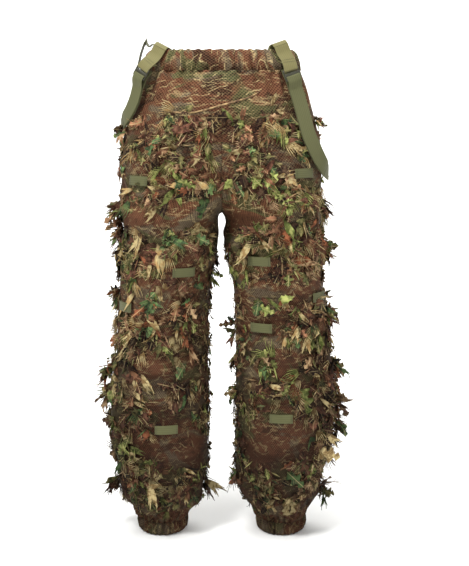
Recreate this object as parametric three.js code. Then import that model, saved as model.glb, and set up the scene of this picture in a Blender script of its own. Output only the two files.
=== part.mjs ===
// Ghillie trousers: see-through mesh trousers with an elastic waist and elastic hems, rows of cut leaf
// strips, webbing tabs for natural foliage, and two webbing braces that hang from the waistband.
// Millimetres, +Z up. The front faces -Y and +X is the wearer's left. The origin is the middle of the
// waist opening, level with the top edge of the waistband, so heights are negative: z = -drop.

import * as THREE from 'three';

// ---- driving dimensions ----

const outseam = 1060; // waist top to hem
const rise = 348; // waist top to crotch seam
const hipDrop = 215;
const kneeDrop = 590;
const calfDrop = 810;
const ankleDrop = 950;

const waistHalfWidth = 153;
const waistHalfDepth = 103;
const hipHalfWidth = 214;
const hipHalfDepth = 136;
const crotchHalfWidth = 216; // over both legs, at the crotch seam
const crotchHalfDepth = 126;
const kneeHalfWidth = 99; // one leg
const kneeHalfDepth = 104;
const calfHalfWidth = 109;
const calfHalfDepth = 106;
const ankleHalfWidth = 91;
const ankleHalfDepth = 90;
const hemHalfWidth = 53;
const hemHalfDepth = 62;
const kneeGap = 60; // between the two legs
const calfGap = 64;
const ankleGap = 78;
const hemGap = 160;

const meshThickness = 2;
const seamGap = 0.4; // between pieces that are sewn edge to edge
const bandHeight = 43; // waistband casing
const hemBandHeight = 30;
const casingWall = 1.2;
const casingDepth = 7; // from the outer wall's face to the inner wall's face
const elasticThickness = 3;
const elasticClearance = 1; // all round the elastic, inside its casing

const stripThickness = 2;
const stripStandoff = 3; // leaf strip's sewn edge, off the mesh
const stripLength = 46;
const stripNotch = 16; // how far the lower edge steps up between two leaves
const stripFlare = 27; // how far the leaves stand out at the lower edge
const innerFlare = 12; // the same, between the legs
const flareShare = 1.6; // how soon the flare grows from the inside leg to the side

const tabWidth = 50;
const tabHeight = 20;
const tabThickness = 2;
const tabStandoff = 4;

const webbingWidth = 32;
const webbingThickness = 1.6;
const layerGap = 2; // between two layers of webbing
const sliderWidth = webbingWidth + 6;
const sliderHeight = 24;
const sliderThickness = 3;
const sliderSlot = 5; // height of each of its two slots
const sliderBar = 4.5; // height of its outer bars
const sliderPlace = 62; // along the brace, from the waistband
const strapEndGap = 2; // from the webbing's sewn end to the end of its path
const returnShare = 0.42; // how much of the brace is doubled
// How fast the webbing's face turns as it goes round the hip, at the front and at the back.
const faceTurns = { left: [1.7, 1.9], right: [1.55, 0.3] };
const anchorClearance = 2.2; // between the waistband and the webbing sewn inside it
const anchorShare = 0.85; // the width of webbing's sewn end, of the webbing's width

// Where the fabric folds on a wearer: the band of cloth that bends at each joint.
const hipFoldTop = 238;
const kneeFoldTop = 520;
const kneeFoldBottom = 660;

// ---- materials ----

const paint = (colour, roughness) =>
  new THREE.MeshStandardMaterial({ color: colour, roughness, metalness: 0 });
const meshCloth = paint(0x5a3524, 0.9);
const leafCloth = paint(0x6f6a3a, 0.85);
const elasticTape = paint(0x6d6450, 0.9);
const webbing = paint(0x7f7a55, 0.8);
const buckleNylon = paint(0x4a4934, 0.55);

// ---- trousers' shape ----

// One half of the garment is an ellipse round the leg's own centre line, cut off at the middle plane.
// The middle plane cuts it as far as the crotch, and from there the leg is a whole tube.
const crotchOuter = crotchHalfWidth / 2;
const thighLevel = (share) => THREE.MathUtils.lerp(rise, kneeDrop, share);
const [belowCrotch, lowerThigh] = [thighLevel(0.26), thighLevel(0.62)];
const stations = [
  { drop: 0, centre: 0, width: waistHalfWidth, depth: waistHalfDepth },
  { drop: bandHeight, centre: 0, width: waistHalfWidth + 12, depth: waistHalfDepth + 9 },
  {
    drop: (bandHeight + hipDrop) / 2,
    centre: 10,
    width: hipHalfWidth - 31,
    depth: hipHalfDepth - 8,
  },
  { drop: hipDrop, centre: 40, width: hipHalfWidth - 40, depth: hipHalfDepth },
  {
    drop: (hipDrop + rise) / 2,
    centre: 76,
    width: (hipHalfWidth + crotchHalfWidth) / 2 + 2 - 76,
    depth: hipHalfDepth - 3,
  },
  { drop: rise, centre: crotchOuter, width: crotchOuter, depth: crotchHalfDepth },
  { drop: belowCrotch, centre: crotchOuter + 3, width: crotchOuter - 4, depth: crotchHalfDepth - 8 },
  {
    drop: lowerThigh,
    centre: (kneeHalfWidth + kneeGap / 2) - 7,
    width: kneeHalfWidth - 1,
    depth: kneeHalfDepth + 6,
  },
  { drop: kneeDrop, centre: kneeHalfWidth + kneeGap / 2, width: kneeHalfWidth, depth: kneeHalfDepth },
  { drop: calfDrop, centre: calfHalfWidth + calfGap / 2, width: calfHalfWidth, depth: calfHalfDepth },
  { drop: ankleDrop, centre: ankleHalfWidth + ankleGap / 2, width: ankleHalfWidth, depth: ankleHalfDepth },
  {
    drop: outseam - hemBandHeight,
    centre: hemHalfWidth + hemGap / 2,
    width: hemHalfWidth,
    depth: hemHalfDepth,
  },
  { drop: outseam, centre: hemHalfWidth + hemGap / 2, width: hemHalfWidth - 3, depth: hemHalfDepth - 3 },
];

// A smooth curve through the stations: each span is a cubic whose end slopes come from its neighbours.
function stationValue(key, drop) {
  const last = stations.length - 1;
  let i = 0;
  while (i < last - 1 && drop > stations[i + 1].drop) i += 1;
  const [a, b] = [stations[i], stations[i + 1]];
  const span = b.drop - a.drop;
  const t = (drop - a.drop) / span;
  const slope = (j) => {
    const before = stations[Math.max(j - 1, 0)];
    const after = stations[Math.min(j + 1, last)];
    return ((after[key] - before[key]) / (after.drop - before.drop)) * span;
  };
  const rises = b[key] - a[key];
  const bend = slope(i) - 2 * rises + slope(i + 1);
  const lean = rises - slope(i) - bend;
  return a[key] + t * (slope(i) + t * (lean + t * bend));
}

const sectionAt = (drop) => ({
  centre: stationValue('centre', drop),
  width: stationValue('width', drop),
  depth: stationValue('depth', drop),
});

// A point on the cloth, `out` millimetres outside it. The angle is 0 at the side seam, 90 at the
// front and 180 at the inside leg; the back's angles are negative.
function clothPoint(side, drop, degrees, out) {
  const { centre, width, depth } = sectionAt(drop);
  const angle = THREE.MathUtils.degToRad(degrees);
  const [c, s] = [Math.cos(angle), Math.sin(angle)];
  const normal = new THREE.Vector2(c / width, -s / depth).normalize();
  const x = centre + width * c + out * normal.x;
  const y = -depth * s + out * normal.y;
  return new THREE.Vector3(side * x, y, -drop);
}

// The angle at which the cloth meets the middle plane, or the inside leg below the crotch.
function innerAngle(drop, gap) {
  const { centre, width } = sectionAt(drop);
  return THREE.MathUtils.radToDeg(Math.acos(-Math.min(1, Math.max(0, (centre - gap) / width))));
}

// ---- closed bodies from grids of points ----

// Turns the faces out when the grid was wound the other way round.
function body(positions, triangles) {
  let volume = 0;
  const [a, b, c] = [new THREE.Vector3(), new THREE.Vector3(), new THREE.Vector3()];
  for (const [i, j, k] of triangles) {
    a.copy(positions[i]);
    b.copy(positions[j]);
    c.copy(positions[k]);
    volume += a.dot(b.cross(c));
  }
  const order = volume < 0 ? triangles.map(([i, j, k]) => [i, k, j]) : triangles;
  const geometry = new THREE.BufferGeometry();
  geometry.setAttribute(
    'position',
    new THREE.Float32BufferAttribute(positions.flatMap((p) => [p.x, p.y, p.z]), 3),
  );
  geometry.setIndex(order.flat());
  geometry.computeVertexNormals();
  return geometry;
}

// A sheet with a thickness: pointAt(u, v, layer) gives its outer face at layer 0 and its inner at 1.
function sheet(pointAt, columns, rows) {
  const positions = [];
  const triangles = [];
  const index = (i, j, layer) => (layer * (rows + 1) + j) * (columns + 1) + i;
  const quad = (p, q, r, s) => triangles.push([p, q, r], [p, r, s]);
  for (const layer of [0, 1]) {
    for (let j = 0; j <= rows; j += 1) {
      for (let i = 0; i <= columns; i += 1) positions.push(pointAt(i / columns, j / rows, layer));
    }
  }
  for (let j = 0; j < rows; j += 1) {
    for (let i = 0; i < columns; i += 1) {
      quad(index(i, j, 0), index(i + 1, j, 0), index(i + 1, j + 1, 0), index(i, j + 1, 0));
      quad(index(i, j, 1), index(i, j + 1, 1), index(i + 1, j + 1, 1), index(i + 1, j, 1));
    }
  }
  for (let i = 0; i < columns; i += 1) {
    quad(index(i, 0, 1), index(i + 1, 0, 1), index(i + 1, 0, 0), index(i, 0, 0));
    quad(index(i, rows, 0), index(i + 1, rows, 0), index(i + 1, rows, 1), index(i, rows, 1));
  }
  for (let j = 0; j < rows; j += 1) {
    quad(index(0, j, 0), index(0, j + 1, 0), index(0, j + 1, 1), index(0, j, 1));
    quad(index(columns, j, 1), index(columns, j + 1, 1), index(columns, j + 1, 0), index(columns, j, 0));
  }
  return body(positions, triangles);
}

// A closed ring: pointAt(turn, corner) goes once round for each corner of a closed profile.
function ring(pointAt, steps, corners) {
  const positions = [];
  const triangles = [];
  for (let i = 0; i < steps; i += 1) {
    for (let j = 0; j < corners; j += 1) positions.push(pointAt(i / steps, j));
  }
  const index = (i, j) => (i % steps) * corners + (j % corners);
  for (let i = 0; i < steps; i += 1) {
    for (let j = 0; j < corners; j += 1) {
      triangles.push([index(i, j), index(i + 1, j), index(i + 1, j + 1)]);
      triangles.push([index(i, j), index(i + 1, j + 1), index(i, j + 1)]);
    }
  }
  return body(positions, triangles);
}

// ---- the group ----

const trousers = new THREE.Group();

function add(name, geometry, material) {
  const mesh = new THREE.Mesh(geometry, material);
  mesh.name = name;
  trousers.add(mesh);
  return mesh;
}

// ---- pieces ----

// A panel of mesh between two heights and from an outer to an inner angle.
function clothPanel(side, from, to, angleFrom, angleTo, columns, rows) {
  return sheet(
    (u, v, layer) => {
      const drop = from + (to - from) * v;
      const degrees = THREE.MathUtils.lerp(angleFrom(drop), angleTo(drop), u);
      return clothPoint(side, drop, degrees, -layer * meshThickness);
    },
    columns,
    rows,
  );
}

const sideSeam = () => 0.15;
const frontEnd = (drop) => innerAngle(drop, seamGap) - 0.3;
const backEnd = (drop) => -frontEnd(drop);
const backSeam = () => -sideSeam();

// A casing folded over its elastic: an open channel, closed at the fold and open at the seam.
function casingProfile(foldDrop, openDrop) {
  const into = Math.sign(openDrop - foldDrop);
  return [
    [0, openDrop],
    [0, foldDrop],
    [-casingDepth, foldDrop],
    [-casingDepth, openDrop],
    [-casingDepth + casingWall, openDrop],
    [-casingDepth + casingWall, foldDrop + into * casingWall],
    [-casingWall, foldDrop + into * casingWall],
    [-casingWall, openDrop],
  ];
}

function elasticProfile(foldDrop, openDrop) {
  const into = Math.sign(openDrop - foldDrop);
  const middle = -casingDepth / 2;
  const [near, far] = [foldDrop + into * (casingWall + elasticClearance), openDrop - into * elasticClearance];
  return [
    [middle + elasticThickness / 2, near],
    [middle - elasticThickness / 2, near],
    [middle - elasticThickness / 2, far],
    [middle + elasticThickness / 2, far],
  ];
}

function clothRing(side, profile, steps) {
  return ring(
    (turn, corner) => clothPoint(side, profile[corner][1], 360 * turn, profile[corner][0]),
    steps,
    profile.length,
  );
}

// A row of leaves: its upper edge is sewn on, and the notched lower edge stands off the mesh. It lies
// closer on the inside leg, where the other leg passes.
function leafStrip(side, top, angleFrom, angleTo, teeth) {
  const columns = 2 * teeth;
  return sheet(
    (u, v, layer) => {
      const degrees = THREE.MathUtils.lerp(angleFrom, angleTo, u);
      const notch = Math.round(u * columns) % 2 ? stripNotch : 0;
      const outward = (1 + Math.cos(THREE.MathUtils.degToRad(degrees))) / 2;
      const flare = THREE.MathUtils.lerp(innerFlare, stripFlare, Math.min(1, flareShare * outward));
      const out = stripStandoff + flare * v + stripThickness * (1 - layer);
      return clothPoint(side, top + (stripLength - notch) * v, degrees, out);
    },
    columns,
    1,
  );
}

// A flat webbing tab that lies square to the cloth under it.
function foliageTab(side, drop, degrees) {
  const centre = clothPoint(side, drop, degrees, tabStandoff + tabThickness / 2);
  const across = clothPoint(side, drop, degrees + 1, 0).sub(clothPoint(side, drop, degrees - 1, 0));
  const down = clothPoint(side, drop + 5, degrees, 0).sub(clothPoint(side, drop - 5, degrees, 0));
  const normal = new THREE.Vector3().crossVectors(across, down).multiplyScalar(side).normalize();
  across.normalize();
  const up = new THREE.Vector3().crossVectors(normal, across);
  const geometry = new THREE.BoxGeometry(tabWidth, tabHeight, tabThickness);
  geometry.applyMatrix4(new THREE.Matrix4().makeBasis(across, up, normal));
  geometry.translate(centre.x, centre.y, centre.z);
  return geometry;
}

// ---- braces ----

// Each brace leaves the waistband at the front, hangs at the hip and climbs to the back. Its route is
// a list of places on the cloth: drop, angle, and how far the webbing stands off.
const braceRoutes = {
  left: [
    [-8, 40, 8], [18, 38, 12], [43, 38, 13], [66, 37, 13], [98, 36, 12], [136, 36, 12], [172, 36, 12],
    [200, 34, 13], [222, 31, 14], [240, 26, 14], [253, 18, 13], [259, 7, 12], [256, -8, 13],
    [238, -24, 13], [196, -38, 12], [120, -42, 12], [50, -40, 12], [-7, -38, 8],
  ],
  right: [
    [-3, 36, 8], [20, 33, 13], [38, 30, 18], [53, 28, 20], [76, 27, 20], [102, 26, 17], [124, 22, 14],
    [142, 16, 13], [156, 8, 13], [162, -3, 14], [153, -13, 15], [120, -16, 16], [76, -15, 18],
    [28, -13, 23], [0, -13, 23], [-17, -14, 15], [-8, -15, 9],
  ],
};

// The webbing's path, and the direction that its outer face looks in at each point.
function braceAt(side, route, [frontTurn, backTurn]) {
  const points = route.map(([drop, degrees, out]) => clothPoint(side, drop, degrees, out));
  const curve = new THREE.CatmullRomCurve3(points, false, 'centripetal');
  const looks = route.map(([, degrees]) => {
    const angle = THREE.MathUtils.degToRad(degrees * (degrees > 0 ? frontTurn : backTurn));
    return new THREE.Vector3(side * Math.cos(angle), -Math.sin(angle), 0);
  });
  const faces = new THREE.CatmullRomCurve3(looks, false, 'centripetal');
  const length = curve.getLength();
  const frameAt = (along) => {
    const share = along / length;
    const t = curve.getUtoTmapping(share);
    const tangent = curve.getTangent(t);
    const across = new THREE.Vector3().crossVectors(tangent, faces.getPoint(t)).normalize();
    const outward = new THREE.Vector3().crossVectors(across, tangent).normalize();
    return { point: curve.getPoint(t), tangent, across, outward };
  };
  return { length, frameAt };
}

// A stretch of webbing between two lengths along the path, in a layer outside it.
function webbingStretch(brace, from, to, layer, steps) {
  const lift = layer * (webbingThickness + layerGap);
  return sheet(
    (u, v, face) => {
      const { point, across, outward } = brace.frameAt(THREE.MathUtils.lerp(from, to, u));
      return point
        .addScaledVector(across, (v - 0.5) * webbingWidth)
        .addScaledVector(outward, lift + webbingThickness * (1 - face));
    },
    steps,
    1,
  );
}

// A flat three-bar slider: a rounded plate with two slots.
function sliderPlate() {
  const [w, h] = [sliderWidth / 2, sliderHeight / 2];
  const corner = 3;
  const plate = new THREE.Shape();
  plate.moveTo(-w + corner, -h);
  plate.lineTo(w - corner, -h);
  plate.lineTo(w, -h + corner);
  plate.lineTo(w, h - corner);
  plate.lineTo(w - corner, h);
  plate.lineTo(-w + corner, h);
  plate.lineTo(-w, h - corner);
  plate.lineTo(-w, -h + corner);
  plate.closePath();
  for (const up of [-1, 1]) {
    const slotHalf = webbingWidth / 2 + 0.5;
    const [near, far] = [up * (h - sliderBar), up * (h - sliderBar - sliderSlot)];
    const slot = new THREE.Path();
    slot.moveTo(-slotHalf, near);
    slot.lineTo(slotHalf, near);
    slot.lineTo(slotHalf, far);
    slot.lineTo(-slotHalf, far);
    slot.closePath();
    plate.holes.push(slot);
  }
  return new THREE.ExtrudeGeometry(plate, { depth: sliderThickness, bevelEnabled: false });
}

// Strips, by body: top edge's drop and the angles that they cover. The hips' sides are left to the braces.
const hipStripDrop = 140;
const hipStripFront = [52, 84];
const thighStripReach = 148; // each way from the side seam
const legStripReach = 172;
const thighStripDrops = [356, 394];
const kneeStripDrop = 598;
const shinStripDrops = [690, 738, 900];

// Tabs by leg: drop and angle.
const tabPlaces = {
  left: { hip: [254, 46], thigh: [438, 110], knee_side: [521, 34], knee_front: [583, 116], shin: [779, 97] },
  right: { hip: [270, 46], thigh: [462, 111], knee_side: [543, 36], shin: [804, 101] },
};

const elasticSteps = 40;
add('waistband_casing', clothRing(1, casingProfile(0, bandHeight), elasticSteps), meshCloth);
add('waist_elastic', clothRing(1, elasticProfile(0, bandHeight), elasticSteps), elasticTape);

for (const [name, side] of [['left', 1], ['right', -1]]) {
  const named = (piece) => `${piece}_${name}`;
  const tabs = tabPlaces[name];
  const hipTop = bandHeight + seamGap;
  const hemTop = outseam - hemBandHeight;

  add(
    named('hip_panel_front'),
    clothPanel(side, hipTop, hipFoldTop, sideSeam, frontEnd, 7, 5),
    meshCloth,
  );
  add(
    named('hip_panel_back'),
    clothPanel(side, hipTop, hipFoldTop, backSeam, backEnd, 7, 5),
    meshCloth,
  );
  add(
    named('hip_fold'),
    clothPanel(side, hipFoldTop + seamGap, rise - 3, backEnd, frontEnd, 14, 3),
    meshCloth,
  );
  add(named('thigh_panel_front'), clothPanel(side, rise, kneeFoldTop, sideSeam, frontEnd, 8, 4), meshCloth);
  add(named('thigh_panel_back'), clothPanel(side, rise, kneeFoldTop, backSeam, backEnd, 8, 4), meshCloth);
  const foldEnds = [
    [0, kneeFoldTop + seamGap],
    [-meshThickness, kneeFoldTop + seamGap],
    [-meshThickness, kneeDrop],
    [-meshThickness, kneeFoldBottom],
    [0, kneeFoldBottom],
    [0, kneeDrop],
  ];
  add(named('knee_fold'), clothRing(side, foldEnds, 20), meshCloth);
  add(
    named('shin_panel_front'),
    clothPanel(side, kneeFoldBottom + seamGap, hemTop - seamGap, sideSeam, frontEnd, 8, 6),
    meshCloth,
  );
  add(
    named('shin_panel_back'),
    clothPanel(side, kneeFoldBottom + seamGap, hemTop - seamGap, backSeam, backEnd, 8, 6),
    meshCloth,
  );
  add(named('hem_casing'), clothRing(side, casingProfile(outseam, hemTop), 24), meshCloth);
  add(named('hem_elastic'), clothRing(side, elasticProfile(outseam, hemTop), 24), elasticTape);

  const [near, far] = hipStripFront;
  add(named('leaf_strip_hip_front'), leafStrip(side, hipStripDrop, near, far, 7), leafCloth);
  add(named('leaf_strip_hip_back'), leafStrip(side, hipStripDrop, -near, -far, 7), leafCloth);
  thighStripDrops.forEach((drop, i) => {
    const strip = leafStrip(side, drop, -thighStripReach, thighStripReach, 15);
    add(named(`leaf_strip_thigh_${i + 1}`), strip, leafCloth);
  });
  const legStrip = (drop) => leafStrip(side, drop, -legStripReach, legStripReach, 16);
  add(named('leaf_strip_knee'), legStrip(kneeStripDrop), leafCloth);
  shinStripDrops.forEach((drop, i) => {
    add(named(`leaf_strip_shin_${i + 1}`), legStrip(drop), leafCloth);
  });
  for (const [place, [drop, degrees]] of Object.entries(tabs)) {
    add(named(`foliage_tab_${place}`), foliageTab(side, drop, degrees), webbing);
  }

  const route = braceRoutes[name];
  const brace = braceAt(side, route, faceTurns[name]);
  const frontAngle = route[0][1];
  const backAngle = route.at(-1)[1];
  for (const [place, degrees] of [['front', frontAngle], ['back', backAngle]]) {
    const half = THREE.MathUtils.radToDeg(webbingWidth / 2 / waistHalfDepth) * anchorShare;
    const out = (layer) => -casingDepth - anchorClearance - layer * webbingThickness;
    add(
      named(`brace_anchor_${place}`),
      sheet((u, v, layer) => {
        const degreesAt = degrees + half * (2 * u - 1);
        return clothPoint(side, -2 + (bandHeight - 6) * v, degreesAt, out(layer));
      }, 3, 1),
      webbing,
    );
  }
  add(named('brace_front_strap'), webbingStretch(brace, strapEndGap, sliderPlace, 0, 5), webbing);
  add(
    named('brace_long_strap'),
    webbingStretch(brace, sliderPlace + 1, brace.length - strapEndGap, 0, 30),
    webbing,
  );
  add(
    named('brace_return_strap'),
    webbingStretch(brace, sliderPlace + 6, brace.length * returnShare, 1, 14),
    webbing,
  );
  const seat = brace.frameAt(sliderPlace);
  const plate = sliderPlate();
  plate.translate(0, 0, 2 * (webbingThickness + layerGap) + 0.4);
  plate.applyMatrix4(new THREE.Matrix4().makeBasis(seat.across, seat.tangent, seat.outward));
  plate.translate(seat.point.x, seat.point.y, seat.point.z);
  add(named('brace_slider'), plate, buckleNylon);
}

export default trousers;
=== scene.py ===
"""Ghillie trousers: printed mesh cloth, rows of cut cloth leaves, foliage tabs and two webbing braces.

The file is laid out as an add-on: the sizes and colours are properties, each group of pieces has its own
operator, and main() calls the operators in order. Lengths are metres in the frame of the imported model:
the front faces -Y, +X is the wearer's left, and z = 0 is the waistband's top edge, so z = -drop.
"""

import math

import bmesh
import bpy
import numpy as np
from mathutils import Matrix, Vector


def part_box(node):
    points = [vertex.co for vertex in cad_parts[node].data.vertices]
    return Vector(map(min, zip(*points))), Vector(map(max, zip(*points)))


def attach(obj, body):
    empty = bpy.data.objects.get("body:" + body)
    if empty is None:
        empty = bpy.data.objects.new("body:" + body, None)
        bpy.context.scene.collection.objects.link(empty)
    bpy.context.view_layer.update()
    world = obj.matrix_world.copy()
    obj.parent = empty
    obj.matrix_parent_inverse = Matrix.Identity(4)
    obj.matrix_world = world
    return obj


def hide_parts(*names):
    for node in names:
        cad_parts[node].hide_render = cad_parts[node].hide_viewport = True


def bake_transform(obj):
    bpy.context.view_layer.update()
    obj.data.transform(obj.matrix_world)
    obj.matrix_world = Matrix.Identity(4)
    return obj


bl_info = {
    "name": "Ghillie trousers",
    "version": (1, 0, 0),
    "blender": (4, 5, 0),
    "location": "View3D > Sidebar > Ghillie",
    "description": "Builds mesh ghillie trousers with leaf strips, foliage tabs and braces",
    "category": "Add Mesh",
}

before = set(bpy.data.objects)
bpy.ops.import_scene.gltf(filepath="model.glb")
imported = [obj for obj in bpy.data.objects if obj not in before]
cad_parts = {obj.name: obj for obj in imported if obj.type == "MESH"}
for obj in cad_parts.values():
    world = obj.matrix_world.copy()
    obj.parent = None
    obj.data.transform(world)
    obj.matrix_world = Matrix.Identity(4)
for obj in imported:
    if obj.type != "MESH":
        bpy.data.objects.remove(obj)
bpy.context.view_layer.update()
SIDES = {"left": 1, "right": -1}
TURN = 2 * math.pi


# ---- colours ----


def srgb(code):
    """Turns a hex colour such as #a0522d into linear red, green, blue and alpha."""
    parts = [int(code[i : i + 2], 16) / 255 for i in (1, 3, 5)]
    return (*[p / 12.92 if p <= 0.04045 else ((p + 0.055) / 1.055) ** 2.4 for p in parts], 1.0)


def colour(name, description, code):
    """A colour property whose default is a hex colour."""
    return bpy.props.FloatVectorProperty(
        name=name, description=description, subtype="COLOR", size=4, min=0, max=1, default=srgb(code)
    )


def length(name, description, default):
    """A length property in metres."""
    return bpy.props.FloatProperty(name=name, description=description, unit="LENGTH", default=default)


class GhillieColours(bpy.types.PropertyGroup):
    """The dyes and prints."""

    bark: colour("Bark", "Red-brown ground of the print", "#5f3a29")
    # Peat is also the colour of the painted shade on the net and in the webbing's grooves.
    peat: colour("Peat", "Dark brown shadows of the print", "#1d110c")
    rust: colour("Rust", "Dead-leaf patches of the print", "#65402c")
    moss: colour("Moss", "Green patches of the print", "#4d5735")
    slate: colour("Slate", "Grey-green patches of the print", "#666553")
    straw: colour("Straw", "Printed grass lines", "#d2bd88")
    olive: colour("Olive webbing", "Webbing that has faded in the light", "#7d774b")
    drab: colour("Drab webbing", "Webbing in its own shade", "#62633f")
    nylon: colour("Slider nylon", "Moulded slider", "#3d3c2a")
    floor: colour("Floor", "Studio floor and backdrop", "#f4f4f2")


class GhillieSizes(bpy.types.PropertyGroup):
    """The sizes that a maker would change."""

    cloth_wall: length("Cloth wall", "Thickness of the doubled mesh cloth", 0.0012)
    pleat: length("Waist pleat", "Depth of the gathers under the waistband", 0.0026)
    crease: length("Crease", "Depth of the cloth's loose folds", 0.0062)
    webbing: length("Webbing width", "Width of the braces' webbing", 0.032)
    webbing_wall: length("Webbing thickness", "Thickness of the webbing", 0.0016)
    tab_bow: length("Tab bow", "How far a tab's middle stands off its sewn ends", 0.0015)
    leaf: length("Leaf length", "Length of a middle-sized leaf", 0.030)
    leaf_step: length("Leaf step", "Distance between the clumps of a leaf row", 0.020)
    row_step: length("Row step", "Distance between the rows of leaves down the trousers", 0.024)


# ---- the trousers' shape, from the frame ----


def drops(node):
    """The drops of a CAD node's top and bottom."""
    low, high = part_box(node)
    return -float(high[2]), -float(low[2])


WAIST_DROP = drops("waistband_casing")[1]
RISE, HIP_END = drops("thigh_panel_front_left")
HEM_TOP, HEM_DROP = drops("hem_casing_left")

# The CAD rings' spacing, and how far the looks stand outside them.
LEVEL_GAP = 0.006
CLOTH_PROUD = 0.001


def cad_points(node):
    """Every vertex of a CAD node, as an array."""
    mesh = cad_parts[node].data
    points = np.empty(3 * len(mesh.vertices))
    mesh.vertices.foreach_get("co", points)
    return points.reshape(-1, 3)


def ring_station(node, drop):
    """The centre, half width and half depth of a ring's outer edge at one level."""
    points = cad_points(node)
    points = points[abs(points[:, 2] + drop) < 0.0004]
    low, high = points.min(axis=0), points.max(axis=0)
    return [drop, (low[0] + high[0]) / 2, (high[0] - low[0]) / 2, high[1]]


def garment_stations():
    """The left half's drop, centre, half width and half depth at each level of its panels.

    The panels' points at one level lie on an ellipse, so A x^2 + B x + C y^2 = 1 is solved for A, B and C.
    """
    kinds = ("hip_panel", "hip_fold", "thigh_panel", "knee_fold", "shin_panel")
    nodes = [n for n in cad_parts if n.endswith("_left") and n.startswith(kinds)]
    points = np.concatenate([cad_points(n) for n in nodes])
    levels = np.round(-points[:, 2] / LEVEL_GAP).astype(int)
    rows = []
    for level in np.unique(levels):
        at = points[levels == level]
        x, y = at[:, 0], at[:, 1]
        a, b, c = np.linalg.lstsq(np.stack([x * x, x, y * y], 1), np.ones(len(at)), rcond=None)[0]
        centre = -b / (2 * a)
        right = 1 + a * centre * centre
        half_width, half_depth = math.sqrt(right / a) + CLOTH_PROUD, math.sqrt(right / c) + CLOTH_PROUD
        rows.append([-at[:, 2].mean(), centre, half_width, half_depth])
    top = ring_station("waistband_casing", 0.0)
    bottom = ring_station("hem_casing_left", HEM_DROP)
    kept = [r for r in rows if r[0] > WAIST_DROP - 0.002 and not RISE - 0.010 < r[0] < RISE - 0.0005]
    return np.array([top, *kept, bottom])


STATIONS = garment_stations()


def section(drop):
    """The centre, half width and half depth at a drop: cubic spans whose slopes come from the next ones."""
    levels = STATIONS[:, 0]
    slopes = np.gradient(STATIONS[:, 1:], levels, axis=0)
    i = np.clip(np.searchsorted(levels, drop) - 1, 0, len(levels) - 2)
    span = levels[i + 1] - levels[i]
    t = np.clip((drop - levels[i]) / span, 0, 1)[..., None]
    a, b = STATIONS[i, 1:], STATIONS[i + 1, 1:]
    rise = b - a
    start, end = slopes[i] * span[..., None], slopes[i + 1] * span[..., None]
    bend = start - 2 * rise + end
    value = a + t * (start + t * (rise - start - bend + t * bend))
    return value[..., 0], value[..., 1], value[..., 2]


def inner_angle(drop):
    """The angle at which the cloth meets the middle plane, or the inside leg below the crotch."""
    centre, width, _ = section(drop)
    inside = np.where(drop < RISE, np.clip(centre / width, -1, 1), 1.0)
    return np.arccos(-inside)


def cloth_point(side, drop, angle, out):
    """A point `out` outside the cloth. The angle is 0 at the side seam and positive to the front."""
    drop, angle, out = np.broadcast_arrays(*(np.asarray(v, float) for v in (drop, angle, out)))
    centre, width, depth = section(drop)
    cos, sin = np.cos(angle), np.sin(angle)
    nx, ny = cos / width, -sin / depth
    size = np.hypot(nx, ny)
    x = centre + width * cos + out * nx / size
    y = -depth * sin + out * ny / size
    return np.stack([side * x, y, -drop], axis=-1)


def cloth_frame(side, drop, angle):
    """Unit vectors down the cloth, across it and out of it."""
    step = 0.002
    down = cloth_point(side, drop + step, angle, 0) - cloth_point(side, drop - step, angle, 0)
    across = cloth_point(side, drop, angle + 0.01, 0) - cloth_point(side, drop, angle - 0.01, 0)
    down = unit(down)
    out = unit(np.cross(across, down) * side)
    return down, np.cross(out, down), out


def unit(v):
    """Vectors scaled to length one."""
    return v / np.linalg.norm(v, axis=-1, keepdims=True)


def run_along(points):
    """The length of a path of points up to each of them."""
    return np.concatenate([[0], np.cumsum(np.linalg.norm(np.diff(points, axis=0), axis=1))])


def squared(value, power):
    """A sine or cosine pushed towards its ends, sign(v) |v|^power, which squares a round section."""
    return np.sign(value) * abs(value) ** power


def ease(x, low, high):
    """0 below low, 1 above high, and a smooth step between them."""
    t = np.clip((x - low) / (high - low), 0, 1)
    return t * t * (3 - 2 * t)


def folds(drop, angle, side, sizes):
    """How far the cloth stands off its plain ellipse: a sum of sine folds, each faded in and out.

    Gathers hang from the waistband and over the hem, slanting creases cross the hip, knee and calf, and
    slow waves run everywhere. All fade out at the middle seam, so the two halves meet.
    """
    shift = 1.7 * side
    wander = 0.5 * np.sin(19 * drop + shift) + 0.4 * np.sin(2 * angle + 31 * drop)
    gather = np.sin(31 * angle + 2.1 * wander + shift) + 0.5 * np.sin(53 * angle + shift)
    waist = sizes.pleat * gather * (1 - ease(drop, 0.05, 0.15))
    hem = 1.5 * sizes.pleat * gather * ease(drop, HEM_TOP - 0.075, HEM_TOP)
    slant = np.sin(70 * drop + 3.0 * angle * side + wander + shift)
    slant += 0.6 * np.sin(112 * drop - 2.3 * angle + 2 * wander)
    zones = 0.25 + 0.75 * ease(drop, 0.22, 0.34) * (1 - ease(drop, 0.42, 0.50))
    zones += 0.8 * ease(drop, 0.52, 0.58) * (1 - ease(drop, 0.64, 0.72))
    zones += 0.9 * ease(drop, 0.80, 0.93) * (1 - ease(drop, HEM_TOP - 0.02, HEM_TOP))
    slow = np.sin(3 * angle + 9 * drop + shift) + 0.7 * np.sin(5 * angle - 14 * drop + 2 * shift)
    total = waist + hem + sizes.crease * (0.42 * slant * zones + 0.45 * slow * ease(drop, 0.05, 0.2))
    blouse = 0.006 * ease(drop, 0.90, 0.97) * (1 - ease(drop, 0.985, HEM_TOP))
    seam = np.sin(np.clip(inner_angle(drop) - abs(angle), 0, math.pi / 2))
    fade = ease(seam, 0.0, 0.22)
    edge = 1 - 0.7 * ease(drop, HEM_TOP - 0.006, HEM_TOP)
    return (total * edge + blouse) * fade


# ---- meshes ----


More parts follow.
